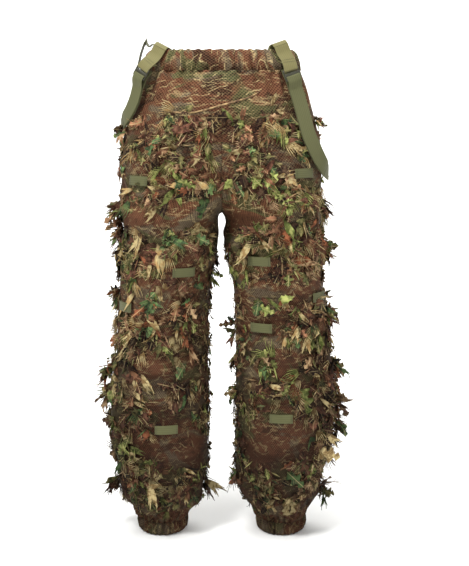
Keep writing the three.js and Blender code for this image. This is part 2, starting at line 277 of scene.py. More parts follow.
def new_object(name, points, faces, material, smooth=True, **uv_maps):
    """Makes an object from arrays of points and faces; each UV map has a pair for each point."""
    mesh = bpy.data.meshes.new(name)
    mesh.from_pydata(np.asarray(points).reshape(-1, 3).tolist(), [], list(faces))
    loops = np.empty(len(mesh.loops), int)
    mesh.loops.foreach_get("vertex_index", loops)
    for key, uv in uv_maps.items():
        layer = mesh.uv_layers.new(name=key)
        layer.data.foreach_set("uv", np.asarray(uv, float).reshape(-1, 2)[loops].ravel())
    if smooth:
        mesh.shade_smooth()
    mesh.materials.append(material)
    piece = bpy.data.objects.new(name, mesh)
    bpy.context.collection.objects.link(piece)
    return piece


def grid_faces(rows, columns, wrap_rows=False, wrap_columns=False):
    """The quads of a grid of rows by columns points, closed round either way where asked."""
    r = np.arange(rows if wrap_rows else rows - 1)
    c = np.arange(columns if wrap_columns else columns - 1)
    r, c = (v.ravel() for v in np.meshgrid(r, c, indexing="ij"))
    down, right = (r + 1) % rows, (c + 1) % columns
    return np.stack(
        [r * columns + c, r * columns + right, down * columns + right, down * columns + c], axis=1
    )


def tube_faces(rings, corners, start=0):
    """The faces of a closed tube of rings of points: its sides, and a cap at each end."""
    sides = grid_faces(rings, corners, wrap_columns=True) + start
    caps = start + np.arange(corners) + np.array([[0], [(rings - 1) * corners]])
    return sides.tolist() + caps.tolist()


def paint_cloth_shade(piece, shaded=None):
    """Stores the painted shade at each point, for its material: darker down the legs, and darker again under
    the leaf rows, most on the lower legs.
    """
    heights = np.empty(3 * len(piece.data.vertices))
    piece.data.vertices.foreach_get("co", heights)
    layer = piece.data.attributes.new("soil", "FLOAT", "POINT")
    kept = painted_shade_kept(-heights[2::3])
    if shaded is not None:
        low = ease(-heights[2::3], 0.45, 0.80)
        kept = kept * (1 - (0.30 + 0.22 * low) * shaded.ravel())
    layer.data.foreach_set("value", 1 - kept)


def weld_outwards(piece, flip=False, gap=0.00002):
    """Merges the points where a sheet closes on itself, and turns every face the same way."""
    work = bmesh.new()
    work.from_mesh(piece.data)
    bmesh.ops.remove_doubles(work, verts=work.verts, dist=gap)
    bmesh.ops.recalc_face_normals(work, faces=work.faces)
    if flip:
        bmesh.ops.reverse_faces(work, faces=work.faces)
    work.to_mesh(piece.data)
    work.free()


def face_out_from(piece, centre_of):
    """Turns the sheet's faces if they look towards the given axis rather than away from it."""
    mesh = piece.data
    count = len(mesh.polygons)
    centres, normals = np.empty(3 * count), np.empty(3 * count)
    mesh.polygons.foreach_get("center", centres)
    mesh.polygons.foreach_get("normal", normals)
    centres, normals = centres.reshape(-1, 3), normals.reshape(-1, 3)
    away = centres - centre_of(centres)
    if (away * normals)[:, :2].sum() < 0:
        mesh.flip_normals()


def add_wall(piece, thickness, offset=-1.0):
    """Gives a sheet its thickness."""
    wall = piece.modifiers.new("wall", "SOLIDIFY")
    wall.thickness = thickness
    wall.offset = offset
    return wall


def leg_axis(side):
    """A function from points to the leg's centre line at their heights."""
    return lambda points: np.stack(
        [side * section(-points[:, 2])[0], 0 * points[:, 0], points[:, 2]], axis=1
    )


# ---- materials ----

# A wave pattern's scale for bands one metre apart.
WAVE_SCALE = 0.314

# Each node by the job it does: its kind, its settings, the inputs that its values fill in order, its output.
NODES = {
    "mix": ("Mix", {"data_type": "RGBA"}, (0, 6, 7), 2),
    "dim": ("Mix", {"data_type": "RGBA", "blend_type": "MULTIPLY"}, (0, 6, 7), 2),
    "times": ("Math", {"operation": "MULTIPLY"}, (0, 1), 0),
    "minus": ("Math", {"operation": "SUBTRACT"}, (0, 1), 0),
    "larger": ("Math", {"operation": "MAXIMUM"}, (0, 1), 0),
    "size": ("Math", {"operation": "ABSOLUTE"}, (0,), 0),
    "sine": ("Math", {"operation": "SINE"}, (0,), 0),
    "mask": ("MapRange", {"interpolation_type": "SMOOTHSTEP"}, ("Value", "From Min", "From Max"), 0),
    "moved": ("Mapping", {}, ("Vector", "Location", "Rotation", "Scale"), 0),
    "noise": ("TexNoise", {}, ("Vector", "Scale", "Detail", "Roughness", "Distortion"), "Fac"),
    "bands": ("TexWave", {}, ("Vector", "Scale", "Distortion", "Detail", "Detail Scale"), "Fac"),
    "split": ("SeparateXYZ", {}, ("Vector",), None),
    "bump": ("Bump", {}, ("Height", "Strength", "Distance"), 0),
    "uv": ("UVMap", {}, (), 0),
    "object": ("TexCoord", {}, (), "Object"),
    "stored": ("Attribute", {}, (), "Fac"),
    "dyed": ("Attribute", {}, (), "Color"),
    "shader": ("BsdfPrincipled", {}, ("Roughness", "Specular IOR Level", "Sheen Weight"), None),
    "output": ("OutputMaterial", {}, ("Surface",), None),
}


def add_node(tree, job, *values, **settings):
    """Adds the node for a job, fills its inputs with values or links, and gives its output or the node."""
    kind, fixed, places, output = NODES[job]
    node = tree.nodes.new(f"ShaderNode{kind}")
    for key, value in {**fixed, **settings}.items():
        setattr(node, key, value)
    for place, value in zip(places, values):
        if isinstance(value, bpy.types.NodeSocket):
            tree.links.new(value, node.inputs[place])
        else:
            node.inputs[place].default_value = value
    return node if output is None else node.outputs[output]


def new_material(name, roughness, specular=0.5, sheen=0.0):
    """A material with a Principled shader, whose even values are set on its own sockets."""
    material = bpy.data.materials.new(name)
    material.use_nodes = True
    tree = material.node_tree
    tree.nodes.clear()
    shader = add_node(tree, "shader", roughness, specular, sheen)
    add_node(tree, "output", shader.outputs[0])
    return material, tree, shader


def finish(tree, shader, ground, height, strength, depth, invert=False):
    """Gives the shader its colour, and its bump from a height pattern `depth` metres deep."""
    tree.links.new(ground, shader.inputs["Base Color"])
    bump = add_node(tree, "bump", height, strength, depth, invert=invert)
    tree.links.new(bump, shader.inputs["Normal"])


def painted_shade_kept(drop):
    """How much of its lightness the cloth keeps at a drop: painted shade makes the lower legs darker, as the
    light falls off down them.
    """
    return 1 - 0.58 * ease(drop, 0.42, 0.88)


# The print's patches, laid over each other: scale per metre, where the noise starts and is full, offset,
# detail, strength and dye.
PRINT_PATCHES = (
    (11, 0.50, 0.58, 5.1, 3.0, 1.0, "bark"),
    (13, 0.51, 0.58, 7.7, 3.0, 0.7, "slate"),
    (12, 0.53, 0.60, 9.2, 3.0, 0.85, "moss"),
    (24, 0.53, 0.62, 3.9, 5.0, 0.85, "peat"),
    (85, 0.52, 0.62, 4.4, 4.0, 0.5, "peat"),
    (60, 0.56, 0.66, 6.1, 4.0, 0.35, "straw"),
)

# The print's grass lines: their turn from level, pitch in metres, bend, offset, cluster scale and strength.
PRINT_LINES = (
    (0.15, 0.010, 9.0, 1.1, 16, 0.62),
    (-0.55, 0.012, 10.0, 4.3, 13, 0.62),
    (0.75, 0.014, 8.0, 8.8, 18, 0.5),
)


def leaf_print(tree, place, colours):
    """The camouflage print: a bark ground with peat, rust, moss and slate patches and straw grass lines.

    The patches are 40 to 120 mm across and lie level, as on printed leaf camouflage. The grass lines are
    the crests of a distorted band pattern, and noise breaks them into blades 10 to 40 mm long.
    """

    def patch(scale, low, high, offset, detail):
        """A mask of level patches, from noise squeezed along the cloth's width."""
        moved = add_node(tree, "moved", place, (offset, 0.6 * offset, 0), (0, 0, 0), (0.6, 1, 1))
        noise = add_node(tree, "noise", moved, scale, detail, 0.65, 1.1)
        return add_node(tree, "mask", noise, low, high)

    ground = add_node(tree, "mix", patch(70, 0.44, 0.62, 2.3, 3.0), colours.bark[:], colours.rust[:])
    for *shape, strength, dye in PRINT_PATCHES:
        cover = add_node(tree, "times", patch(*shape), strength)
        ground = add_node(tree, "mix", cover, ground, getattr(colours, dye)[:])
    for turn, pitch, bend, offset, spread, strength in PRINT_LINES:
        turned = add_node(tree, "moved", place, (offset, 0.37 * offset, 0), (0, 0, turn), (0.65, 1, 1))
        bands = add_node(
            tree, "bands", turned, WAVE_SCALE / pitch, bend, 2.0, 1.6, bands_direction="Y"
        )
        blades = add_node(tree, "mask", add_node(tree, "noise", turned, 60.0, 2.0), 0.50, 0.58)
        lines = add_node(tree, "times", add_node(tree, "mask", bands, 0.92, 0.99), blades)
        lines = add_node(tree, "times", lines, patch(spread, 0.44, 0.56, offset, 2.0))
        cover = add_node(tree, "times", lines, strength)
        ground = add_node(tree, "mix", cover, ground, colours.straw[:])
    return ground


def knitted_net(colours):
    """Printed polyester net: matt, with painted shade in its holes for the shaded inside seen through them,
    so bare cloth looks dotted.

    The holes are a diamond lattice, the product of two crossed band patterns. The real ones are about
    2 mm apart; they are drawn 4.2 mm apart so that they show.
    """
    material, tree, shader = new_material("printed_knitted_net", 0.85, specular=0.12)
    place = add_node(tree, "uv", uv_map="cloth")
    ground = leaf_print(tree, place, colours)
    pitch = 0.0042
    crossed = []
    for turn in (0.7, -0.7):
        turned = add_node(tree, "moved", place, (0, 0, 0), (0, 0, turn))
        crossed.append(add_node(tree, "bands", turned, WAVE_SCALE / pitch))
    holes = add_node(tree, "times", *crossed)
    threads = add_node(
        tree, "mix", add_node(tree, "mask", holes, 0.10, 0.02), ground, srgb("#8d6a4c")
    )
    ground = add_node(tree, "mix", 0.30, ground, threads)
    # Painted shade: the holes darken towards peat.
    dots = add_node(tree, "times", add_node(tree, "mask", holes, 0.25, 0.65), 0.62)
    shaded = add_node(tree, "mix", dots, ground, colours.peat[:])
    # Painted shade: the cloth darkens towards peat down the legs and under the leaf rows.
    soil = add_node(tree, "stored", attribute_name="soil")
    shaded = add_node(tree, "mix", soil, shaded, colours.peat[:])
    finish(tree, shader, shaded, holes, 0.6, 0.0012, invert=True)
    return material


def cut_leaf_cloth(colours):
    """Laser-cut printed cloth: two dyes on each leaf, a straw midrib, slanting veins and a straw cut edge.

    The veins are 6 mm apart. A leaf is darker near its sewn end, where the clump shades it.
    """
    material, tree, shader = new_material("laser_cut_leaf_cloth", 0.82, specular=0.15)
    place = add_node(tree, "uv", uv_map="print")
    own = add_node(tree, "split", add_node(tree, "uv", uv_map="leaf"))
    dye, second = (add_node(tree, "dyed", attribute_name=key) for key in ("dye", "second_dye"))
    rim, strawed = (add_node(tree, "stored", attribute_name=key) for key in ("rim", "strawed"))
    away = add_node(tree, "size", own.outputs[0])
    slant = add_node(tree, "minus", own.outputs[1], add_node(tree, "times", away, 0.9))
    veins = add_node(tree, "sine", add_node(tree, "times", slant, TURN / 0.006))
    blotch = add_node(tree, "noise", place, 75.0, 3.0)
    ground = add_node(tree, "mix", add_node(tree, "mask", blotch, 0.44, 0.56), dye, second)
    faint = add_node(tree, "mask", blotch, 0.50, 0.58)
    veins = add_node(tree, "times", add_node(tree, "mask", veins, 0.65, 0.95), faint)
    midrib = add_node(tree, "times", add_node(tree, "mask", away, 0.0011, 0.0004), 0.5)
    lines = add_node(tree, "larger", add_node(tree, "times", veins, 0.5), midrib)
    lines = add_node(tree, "larger", lines, add_node(tree, "mask", rim, 0.78, 1.0))
    ground = add_node(tree, "mix", add_node(tree, "times", lines, strawed), ground, colours.straw[:])
    clear = add_node(tree, "mask", own.outputs[1], -0.004, 0.016)
    shade = add_node(tree, "mix", clear, (0.38, 0.34, 0.32, 1), (1, 1, 1, 1))
    grain = add_node(tree, "noise", place, 900.0, 1.0)
    finish(tree, shader, add_node(tree, "dim", 1.0, ground, shade), grain, 0.35, 0.0004)
    return material


def woven_webbing(name, shade, colours):
    """Woven polypropylene webbing: cross ribs with a faint twill, and a slight sheen on the ribs.

    The real ribs are about 1 mm apart; they are drawn 2.2 mm apart so that they show.
    """
    material, tree, shader = new_material(name, 0.7, specular=0.25, sheen=0.1)
    place = add_node(tree, "uv", uv_map="cloth")
    ribs = add_node(tree, "bands", place, WAVE_SCALE / 0.0022, 0.4, bands_direction="Y")
    cords = add_node(tree, "bands", place, WAVE_SCALE / 0.0042, bands_direction="X")
    weave = add_node(tree, "times", ribs, cords)
    wear = add_node(tree, "mask", add_node(tree, "noise", place, 45.0, 4.0), 0.4, 0.7)
    ground = add_node(tree, "mix", add_node(tree, "times", wear, 0.35), shade, colours.drab[:])
    # Painted shade: the grooves between the ribs are darker than the raised ribs.
    dark = add_node(tree, "mix", 0.3, shade, colours.peat[:])
    raised = add_node(tree, "times", add_node(tree, "mask", weave, 0.0, 0.35), 0.6)
    finish(tree, shader, add_node(tree, "mix", raised, dark, ground), weave, 0.4, 0.0005)
    return material


def plain_by_place(name, shade, dark, scale, roughness, bump_depth):
    """A plain dyed or moulded finish on Object coordinates, with fine mottling and a fine bump."""
    material, tree, shader = new_material(name, roughness)
    fine = add_node(tree, "noise", add_node(tree, "object"), scale, 3.0)
    ground = add_node(tree, "mix", add_node(tree, "mask", fine, 0.35, 0.7), dark, shade)
    finish(tree, shader, ground, fine, 0.4, bump_depth)
    return material


def studio_paper(colours):
    """Matt paper of the studio floor and backdrop."""
    material, _, shader = new_material("studio_paper", 0.9)
    shader.inputs["Base Color"].default_value = colours.floor[:]
    return material


# The plain finishes: name, colour, darker mottling, its scale per metre, roughness and bump depth. What
# they give the eye: elastic is matt and ribbed, webbing is darker where it is sewn, moulded nylon has a soft
# gloss, thread is finely mottled, and a turned edge is paler where its folded cloth has worn.
PLAIN_FINISHES = {
    "tape": ("ribbed_elastic_tape", "#6f6650", "#4a4334", 700.0, 0.85, 0.0005),
    "sewn": ("sewn_webbing_end", "drab", "#4f4f35", 500.0, 0.75, 0.0005),
    "nylon": ("moulded_nylon", "nylon", "#2a2a1c", 900.0, 0.45, 0.0002),
    "thread": ("polyester_thread", "#5c5a3c", "#3f3e28", 2000.0, 0.6, 0.0002),
    "turned_edge": ("turned_cloth_edge", "#b89a6a", "#5e4530", 90.0, 0.85, 0.0004),
}
_made = {}


def make_material(key):
    """Makes one finish."""
    colours = bpy.context.scene.ghillie_colours
    if key in PLAIN_FINISHES:
        name, shade, dark, *rest = PLAIN_FINISHES[key]
        shade = srgb(shade) if shade.startswith("#") else getattr(colours, shade)[:]
        return plain_by_place(name, shade, srgb(dark), *rest)
    if key in ("faded", "webbing"):
        name, shade = ("faded", colours.olive) if key == "faded" else ("drab", colours.drab)
        return woven_webbing(f"woven_webbing_{name}", shade[:], colours)
    return {"net": knitted_net, "leaf": cut_leaf_cloth, "paper": studio_paper}[key](colours)


def material_for(key):
    """Each finish, made once."""
    if key not in _made:
        _made[key] = make_material(key)
    return _made[key]


def finish_node(node, key):
    """Gives a CAD node that stays its own finish."""
    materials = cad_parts[node].data.materials
    materials.clear()
    materials.append(material_for(key))


# ---- transforms baked into the cloth's pieces ----


def bend_at_hip(piece, name):
    """Bakes the piece's transform into its mesh; it does not bend it at the hip."""
    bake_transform(piece)


def bend_at_knee(piece, name):
    """Bakes the piece's transform into its mesh; it does not bend it at the knee."""
    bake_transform(piece)


# ---- cloth ----


# A mean radius of the trousers and of a hem, which turns angles into distances for the print.
MEAN_RADIUS = 0.125
HEM_RADIUS = 0.06


def cloth_tube(piece_name, name, top, bottom, columns, sizes):
    """One stretch of the trousers' cloth: the drop runs down the grid and the angle runs round it.

    Each row goes from the back's middle round the side to the front's middle, and below the crotch right
    round the leg, where its ends are welded.
    """
    side = SIDES[name]
    v = np.linspace(0, 1, 150)[:, None]
    u = np.linspace(-1, 1, columns)[None, :]
    drop = top + (bottom - top) * v + 0 * u
    angle = inner_angle(drop) * u
    points = cloth_point(side, drop, angle, folds(drop, angle, side, sizes))
    joined = drop < RISE
    for column in (0, -1):
        points[joined[:, column], column, 0] = 0.0
    uv = np.stack([MEAN_RADIUS * (math.pi / 2 - angle) * side, drop], axis=-1)
    faces = grid_faces(*drop.shape).tolist()
    piece = new_object(f"{piece_name}_{name}", points, faces, material_for("net"), cloth=uv)
    paint_cloth_shade(piece, under_leaves(name, drop, angle))
    weld_outwards(piece)
    face_out_from(piece, leg_axis(side))
    add_wall(piece, sizes.cloth_wall)
    return piece


class GHILLIE_OT_cloth(bpy.types.Operator):
    """Makes the mesh cloth of the hips, thighs, knees and shins"""

    bl_idname = "ghillie.cloth"
    bl_label = "Mesh cloth"

    def execute(self, context):
        sizes = context.scene.ghillie_sizes
        hip_nodes = ("hip_panel_front", "hip_panel_back", "hip_fold", "thigh_panel_front", "thigh_panel_back")
        leg_nodes = ("knee_fold", "shin_panel_front", "shin_panel_back")
        for name in SIDES:
            hips = cloth_tube("cloth_hip", name, WAIST_DROP - 0.001, HIP_END, 200, sizes)
            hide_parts(*[f"{node}_{name}" for node in hip_nodes])
            bend_at_hip(hips, name)
            legs = cloth_tube("cloth_leg", name, HIP_END, HEM_TOP + 0.0005, 180, sizes)
            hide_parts(*[f"{node}_{name}" for node in leg_nodes])
            bend_at_knee(legs, name)
        return {"FINISHED"}


def casing_ring(piece_name, side, fold, opening, gathers, ring_seed):
    """A gathered casing: a channel section, folded over at `fold`, carried round the waist or the hem.

    The gathers are two sine waves round the ring, and swell the casing most midway between its edges.
    """
    turn = np.linspace(0, TURN, 360, endpoint=False)[None, :]
    into = np.sign(opening - fold)
    depth, wall, skin = 0.007, 0.0012, 0.0008
    reach = abs(opening - fold)
    profile = np.array([
        (0.0, opening), (skin, fold + 0.6 * into * reach), (0.0004, fold + 0.2 * into * reach),
        (-skin, fold + into * wall), (-0.5 * depth, fold), (skin - depth, fold + into * wall),
        (-depth, opening), (-depth + wall, opening), (-depth + wall, fold + into * 2 * wall),
        (-wall, fold + into * 2 * wall), (-wall, opening),
    ])
    out, drop = profile[:, 0:1], profile[:, 1:2] + 0 * turn
    gather = np.sin(gathers * turn + 1.3 * np.sin(5 * turn + ring_seed))
    gather += 0.5 * np.sin(1.7 * gathers * turn + ring_seed)
    closeness = 1 - abs(drop - (fold + opening) / 2) / reach
    shown = (out > -wall / 2) | (out < -depth + wall / 2)
    swell = (skin + 0.0024 * closeness) * np.where(shown, 1, 0.3)
    drop = drop + 0.0010 * gather * (profile[:, 1:2] == fold)
    angle = turn + 0 * drop
    points = cloth_point(side, drop, angle, out + (gather + 0.6) * swell * np.sign(out + depth / 2))
    run = run_along(profile)[:, None] + 0 * angle
    uv = np.stack([run + ring_seed, (MEAN_RADIUS if fold < opening else HEM_RADIUS) * angle], axis=-1)
    faces = grid_faces(*drop.shape, wrap_rows=True, wrap_columns=True).tolist()
    piece = new_object(piece_name, points, faces, material_for("net"), cloth=uv)
    weld_outwards(piece)
    paint_cloth_shade(piece)
    return piece


class GHILLIE_OT_casings(bpy.types.Operator):
    """Makes the gathered waistband and hem casings"""

    bl_idname = "ghillie.casings"
    bl_label = "Waistband and hems"

    def execute(self, context):
        sizes = context.scene.ghillie_sizes
        edge = yoke_edge(sizes)
        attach(edge, "waist")
        waist = casing_ring("waistband", 1, fold=0.0, opening=WAIST_DROP, gathers=46, ring_seed=1.0)
        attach(waist, "waist")
        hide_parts("waistband_casing")
        for name, side in SIDES.items():
            hem = casing_ring(
                f"hem_{name}", side, fold=HEM_DROP, opening=HEM_TOP, gathers=26, ring_seed=2.0 + side
            )
            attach(hem, f"shin_{name}")
            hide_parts(f"hem_casing_{name}")
        return {"FINISHED"}


# The turned edge of the yoke across the front: x in millimetres, positive to the wearer's left, and drop.
YOKE_EDGE = (
    (-122, 121), (-104, 126), (-80, 129), (-52, 127), (-24, 120), (4, 112), (30, 105), (58, 96), (80, 84)
)


def yoke_edge(sizes):
    """The yoke's turned and stitched edge: a soft roll of cloth 4 mm wide along the line on the front."""
    line = spline(np.c_[np.array(YOKE_EDGE, float) / 1000, np.zeros(len(YOKE_EDGE))], 160)
    x, drop = line[:, 0], line[:, 1]
    centre, width, _ = section(drop)
    angle = np.arccos(np.clip((abs(x) - centre) / width, -1, 1))
    side = np.where(x > 0, 1.0, -1.0)
    points = cloth_point(1, drop, angle, folds(drop, angle, side, sizes))
    points[:, 0] = x
    tangent = unit(np.gradient(points, axis=0))
    out = np.cross(tangent, np.array([0.0, 0.0, 1.0]))
    out = unit(-np.sign(out[:, 1:2]) * out)
    over = np.cross(out, tangent)
    turn = np.linspace(0, TURN, 10, endpoint=False)
    thin = np.sin(math.pi * np.linspace(0.02, 0.98, len(x))) ** 0.35
    rim = np.cos(turn)[None, :, None] * 0.0020 * thin[:, None, None] * over[:, None]
    rim = rim + np.sin(turn)[None, :, None] * 0.0011 * thin[:, None, None] * out[:, None]
    rings = points[:, None] + rim + 0.0006 * out[:, None]
    run = np.broadcast_to((x[:, None] + 0.2), rings.shape[:2])
    uv = np.stack([np.broadcast_to(0.004 * turn[None], run.shape), run], axis=-1)
    return swept_mesh("yoke_edge", rings, material_for("turned_edge"), uv)


# ---- leaves ----


def strip_leaf(stops, half_width):
    """A leaf three points wide: its left edge, midrib and right edge at each stop down its length."""
    along = np.linspace(0, 1, stops)
    width = half_width(along)
    x = np.stack([-width, 0 * width, width], axis=1)
    y = np.stack([along] * 3, axis=1)
    return np.stack([x, y], axis=-1).reshape(-1, 2), grid_faces(stops, 3)


def oak_edge(along):
    """Half width of an oak leaf: a long oval times rounded lobes."""
    oval = np.sin(math.pi * along**0.85) ** 0.7
    return oval * (0.60 + 0.40 * np.cos(TURN * 3.0 * (along - 0.20))) + 0.06 * (1 - along)


def holly_edge(along):
    """Half width of a leaf with saw teeth: a long oval times a falling ramp in each tooth."""
    oval = np.sin(math.pi * along**0.75) ** 0.7
    return oval * (0.45 + 0.55 * (1 - (along * 4) % 1)) + 0.05 * (1 - along)


def willow_edge(along):
    """Half width of a narrow, pointed leaf."""
    return 0.40 * np.sin(math.pi * (0.06 + 0.92 * along) ** 0.75) ** 1.1 + 0.02


def fingers(starts, reaches, leans, fat):
    """Tapered cut fingers, each four stops long and two points wide, that curve as they leave the cloth.

    A finger starts at (x, y), runs `reach` along its lean, and turns down the leaf by the square of its run.
    """
    points, faces = [], []
    run = np.array([0.0, 0.35, 0.7, 1.0])
    for i, ((x, y), reach, lean) in enumerate(zip(starts, reaches, leans)):
        middle_x = x + math.sin(lean) * reach * run
        middle_y = y + math.cos(lean) * reach * run + 0.45 * reach * abs(math.sin(lean)) * run**2
        half = fat * (1 - 0.8 * run**2)
        edge_x, edge_y = half * math.cos(lean), -half * math.sin(lean)
        x_pair = np.stack([middle_x - edge_x, middle_x + edge_x], axis=1)
        y_pair = np.stack([middle_y - edge_y, middle_y + edge_y], axis=1)
        points.append(np.stack([x_pair, y_pair], axis=-1).reshape(-1, 2))
        faces.append(grid_faces(4, 2) + 8 * i)
    return np.concatenate(points), np.concatenate(faces)


def fern_leaf():
    """Broad cut fingers: three down each side of the midrib, and one long one along it."""
    places = [0.04, 0.30, 0.56]
    starts = [(0.0, y + 0.06 * sign) for y in places for sign in (-1, 1)] + [(0.0, 0.0)]
    reaches = [0.78 * math.sin(math.pi * (0.34 + 0.5 * y)) for y in places for _ in (0, 1)] + [1.0]
    leans = [sign * 0.85 for _ in places for sign in (-1, 1)] + [0.0]
    return fingers(starts, reaches, leans, 0.13)


def grass_tuft():
    """Six cut blades that share one sewn end and fan out."""
    leans = [-0.75, -0.42, -0.14, 0.16, 0.44, 0.78]
    starts = [(0.42 * lean, 0.0) for lean in leans]
    reaches = [0.78, 1.0, 0.82, 1.0, 0.86, 0.95]
    return fingers(starts, reaches, leans, 0.065)


# Each kind: its outline, its length and its width as shares of a middle-sized leaf's length, and how
# often it is cut.
LEAF_KINDS = {
    "oak": (strip_leaf(13, oak_edge), 1.05, 0.72, 0.26),
    "holly": (strip_leaf(13, holly_edge), 1.0, 0.60, 0.18),
    "willow": (strip_leaf(6, willow_edge), 1.0, 0.26, 0.14),
    "fern": (fern_leaf(), 1.0, 0.80, 0.20),
    "grass": (grass_tuft(), 1.05, 0.85, 0.26),
}

CUT_FINGERS = ("fern", "grass")

# How far off the cloth a leaf is sewn, the mean count of leaves in a clump, the drop above which the hips'
# leaves are smaller, and the lightest that a dyed leaf gets.
SEWN_LIFT = 0.0022
CLUMP_LEAVES = 6.4
HIP_LEAVES_END = 0.31
LIGHTEST_DYE = 0.52

# Each dye: its colour, the colour it is blotched with, and how common it is. The shadow dye is painted shade:
# near-black leaves that stand for the dark gaps between clumps.
LEAF_DYES = {
    "bark": ("#5f3f30", "#3a221a", 0.22),
    "chestnut": ("#77533c", "#4a2d20", 0.16),
    "tan": ("#92785a", "#5f4530", 0.12),
    "rust": ("#7c4a31", "#55301f", 0.05),
    "olive": ("#6f6840", "#434428", 0.13),
    "green": ("#556a3f", "#33452c", 0.08),
    "lime": ("#8b8f52", "#56602f", 0.09),
    "straw": ("#d8c38e", "#8a7048", 0.06),
    "shadow": ("#1b100b", "#36261b", 0.15),
}

# Patches of mesh that stay bare: drop, degrees, and half their height and half their width in degrees.
BARE_PATCHES = {
    "right": (
        (0.318, 80, 0.036, 74), (0.488, 105, 0.022, 55), (0.655, 85, 0.027, 65), (0.832, 115, 0.045, 52),
        (0.060, 90, 0.056, 80), (0.190, 130, 0.034, 18), (0.735, 95, 0.016, 60),
    ),
    "left": (
        (0.470, 85, 0.028, 70), (0.620, 80, 0.034, 34), (0.675, 130, 0.020, 40), (0.808, 105, 0.058, 50),
        (0.985, 95, 0.022, 40), (0.060, 90, 0.050, 70), (0.318, 100, 0.024, 62), (0.225, 130, 0.030, 20),
        (0.730, 95, 0.014, 60),
    ),
}

# Clumps that stand well out of the outline: drop, degrees and length.
TUFTS = {
    "right": (
        (0.165, 12, 0.030), (0.335, 6, 0.040), (0.375, 0, 0.036), (0.430, 8, 0.038), (0.520, 4, 0.034),
        (0.690, 2, 0.040), (0.745, 8, 0.040), (0.945, 4, 0.036), (0.470, 172, 0.028), (0.945, 174, 0.036),
    ),
    "left": (
        (0.150, 8, 0.022), (0.325, 6, 0.040), (0.430, 4, 0.040),
        (0.565, 10, 0.038), (0.680, 4, 0.038), (0.765, 10, 0.038), (0.815, 4, 0.036), (0.965, 6, 0.034),
        (0.600, 174, 0.030), (0.665, 172, 0.026), (0.740, 172, 0.032), (0.930, 172, 0.036),
    ),
}

# Single large leaves: drop, degrees, kind, dye, length and heading. A shadow-dyed leaf is painted shade for a
# dark gap.
SHOWN_LEAVES = {
    "right": (
        (0.185, 50, "oak", "green", 0.044, 0.4), (0.138, 98, "oak", "shadow", 0.044, -1.3),
        (0.142, 112, "oak", "chestnut", 0.044, 0.2), (0.285, 82, "fern", "lime", 0.050, -0.3),
        (0.300, 112, "oak", "green", 0.048, 0.5), (0.405, 78, "fern", "straw", 0.054, 0.3),
        (0.665, 125, "oak", "green", 0.052, -1.1), (0.835, 48, "oak", "lime", 0.056, 0.3),
        (0.880, 55, "oak", "rust", 0.056, 0.1), (0.905, 92, "oak", "straw", 0.050, -0.9),
        (0.925, 76, "fern", "straw", 0.046, 0.2),
    ),
    "left": (
        (0.120, 92, "fern", "lime", 0.046, 0.5), (0.270, 108, "oak", "green", 0.042, 0.3),
        (0.255, 62, "holly", "straw", 0.036, 0.2), (0.395, 118, "fern", "straw", 0.050, -0.3),
        (0.350, 78, "fern", "lime", 0.054, 0.1), (0.665, 118, "oak", "green", 0.044, 0.6),
        (0.715, 72, "oak", "lime", 0.050, 0.1), (0.860, 50, "oak", "straw", 0.048, 1.2),
        (0.900, 86, "oak", "green", 0.054, 1.0), (0.960, 80, "holly", "straw", 0.044, 0.1),
    ),
}


def bent_leaves(outline, base, ways, size, breadth, draw, lift=(0.10, 0.75), turn=0.9, heading=0.0):
    """Lays copies of one outline on the cloth; each bends, twists and cups as it leaves its sewn end.

    Down a leaf the slope from the cloth is pitch + bend * y, so its path is the integral of that slope's
    cosine along the leaf's heading and of its sine out of the cloth. Its width turns about that path by
    roll * y + twist * y^2, and its edges rise by cup * |x|^1.5.
    """
    down, across, out = ways
    count = len(base)

    def spread(mean, deviation):
        """One random value for each leaf."""
        return draw.normal(mean, deviation, count)[:, None]

    x, y = outline[None, :, 0], outline[None, :, 1]
    yaw = heading + spread(0, turn)
    pitch = draw.uniform(*lift, count)[:, None]
    bend = draw.uniform(-1.6, 0.8, count)[:, None] - 0.6 * pitch
    bend = np.where(abs(bend) < 0.05, 0.05, bend)
    slope = pitch + bend * y
    run = (np.sin(slope) - np.sin(pitch)) / bend * size[:, None]
    rise = (np.cos(pitch) - np.cos(slope)) / bend * size[:, None]
    way = np.cos(yaw) * down + np.sin(yaw) * across
    crosswise = -np.sin(yaw) * down + np.cos(yaw) * across
    normal = -np.sin(slope)[..., None] * way[:, None] + np.cos(slope)[..., None] * out[:, None]
    lean = spread(0, 0.4) * y + spread(0, 1.0) * y * y
    width_way = np.cos(lean)[..., None] * crosswise[:, None] + np.sin(lean)[..., None] * normal
    face_way = -np.sin(lean)[..., None] * crosswise[:, None] + np.cos(lean)[..., None] * normal
    half = x * breadth[:, None] / 2
    cup = spread(0.05, 0.35) * abs(x) ** 1.5 * breadth[:, None] / 2
    rise = np.maximum(rise, -0.0015)
    points = base[:, None] + run[..., None] * way[:, None] + rise[..., None] * out[:, None]
    points = points + half[..., None] * width_way + cup[..., None] * face_way
    return points, np.stack([half, y * size[:, None]], axis=-1)


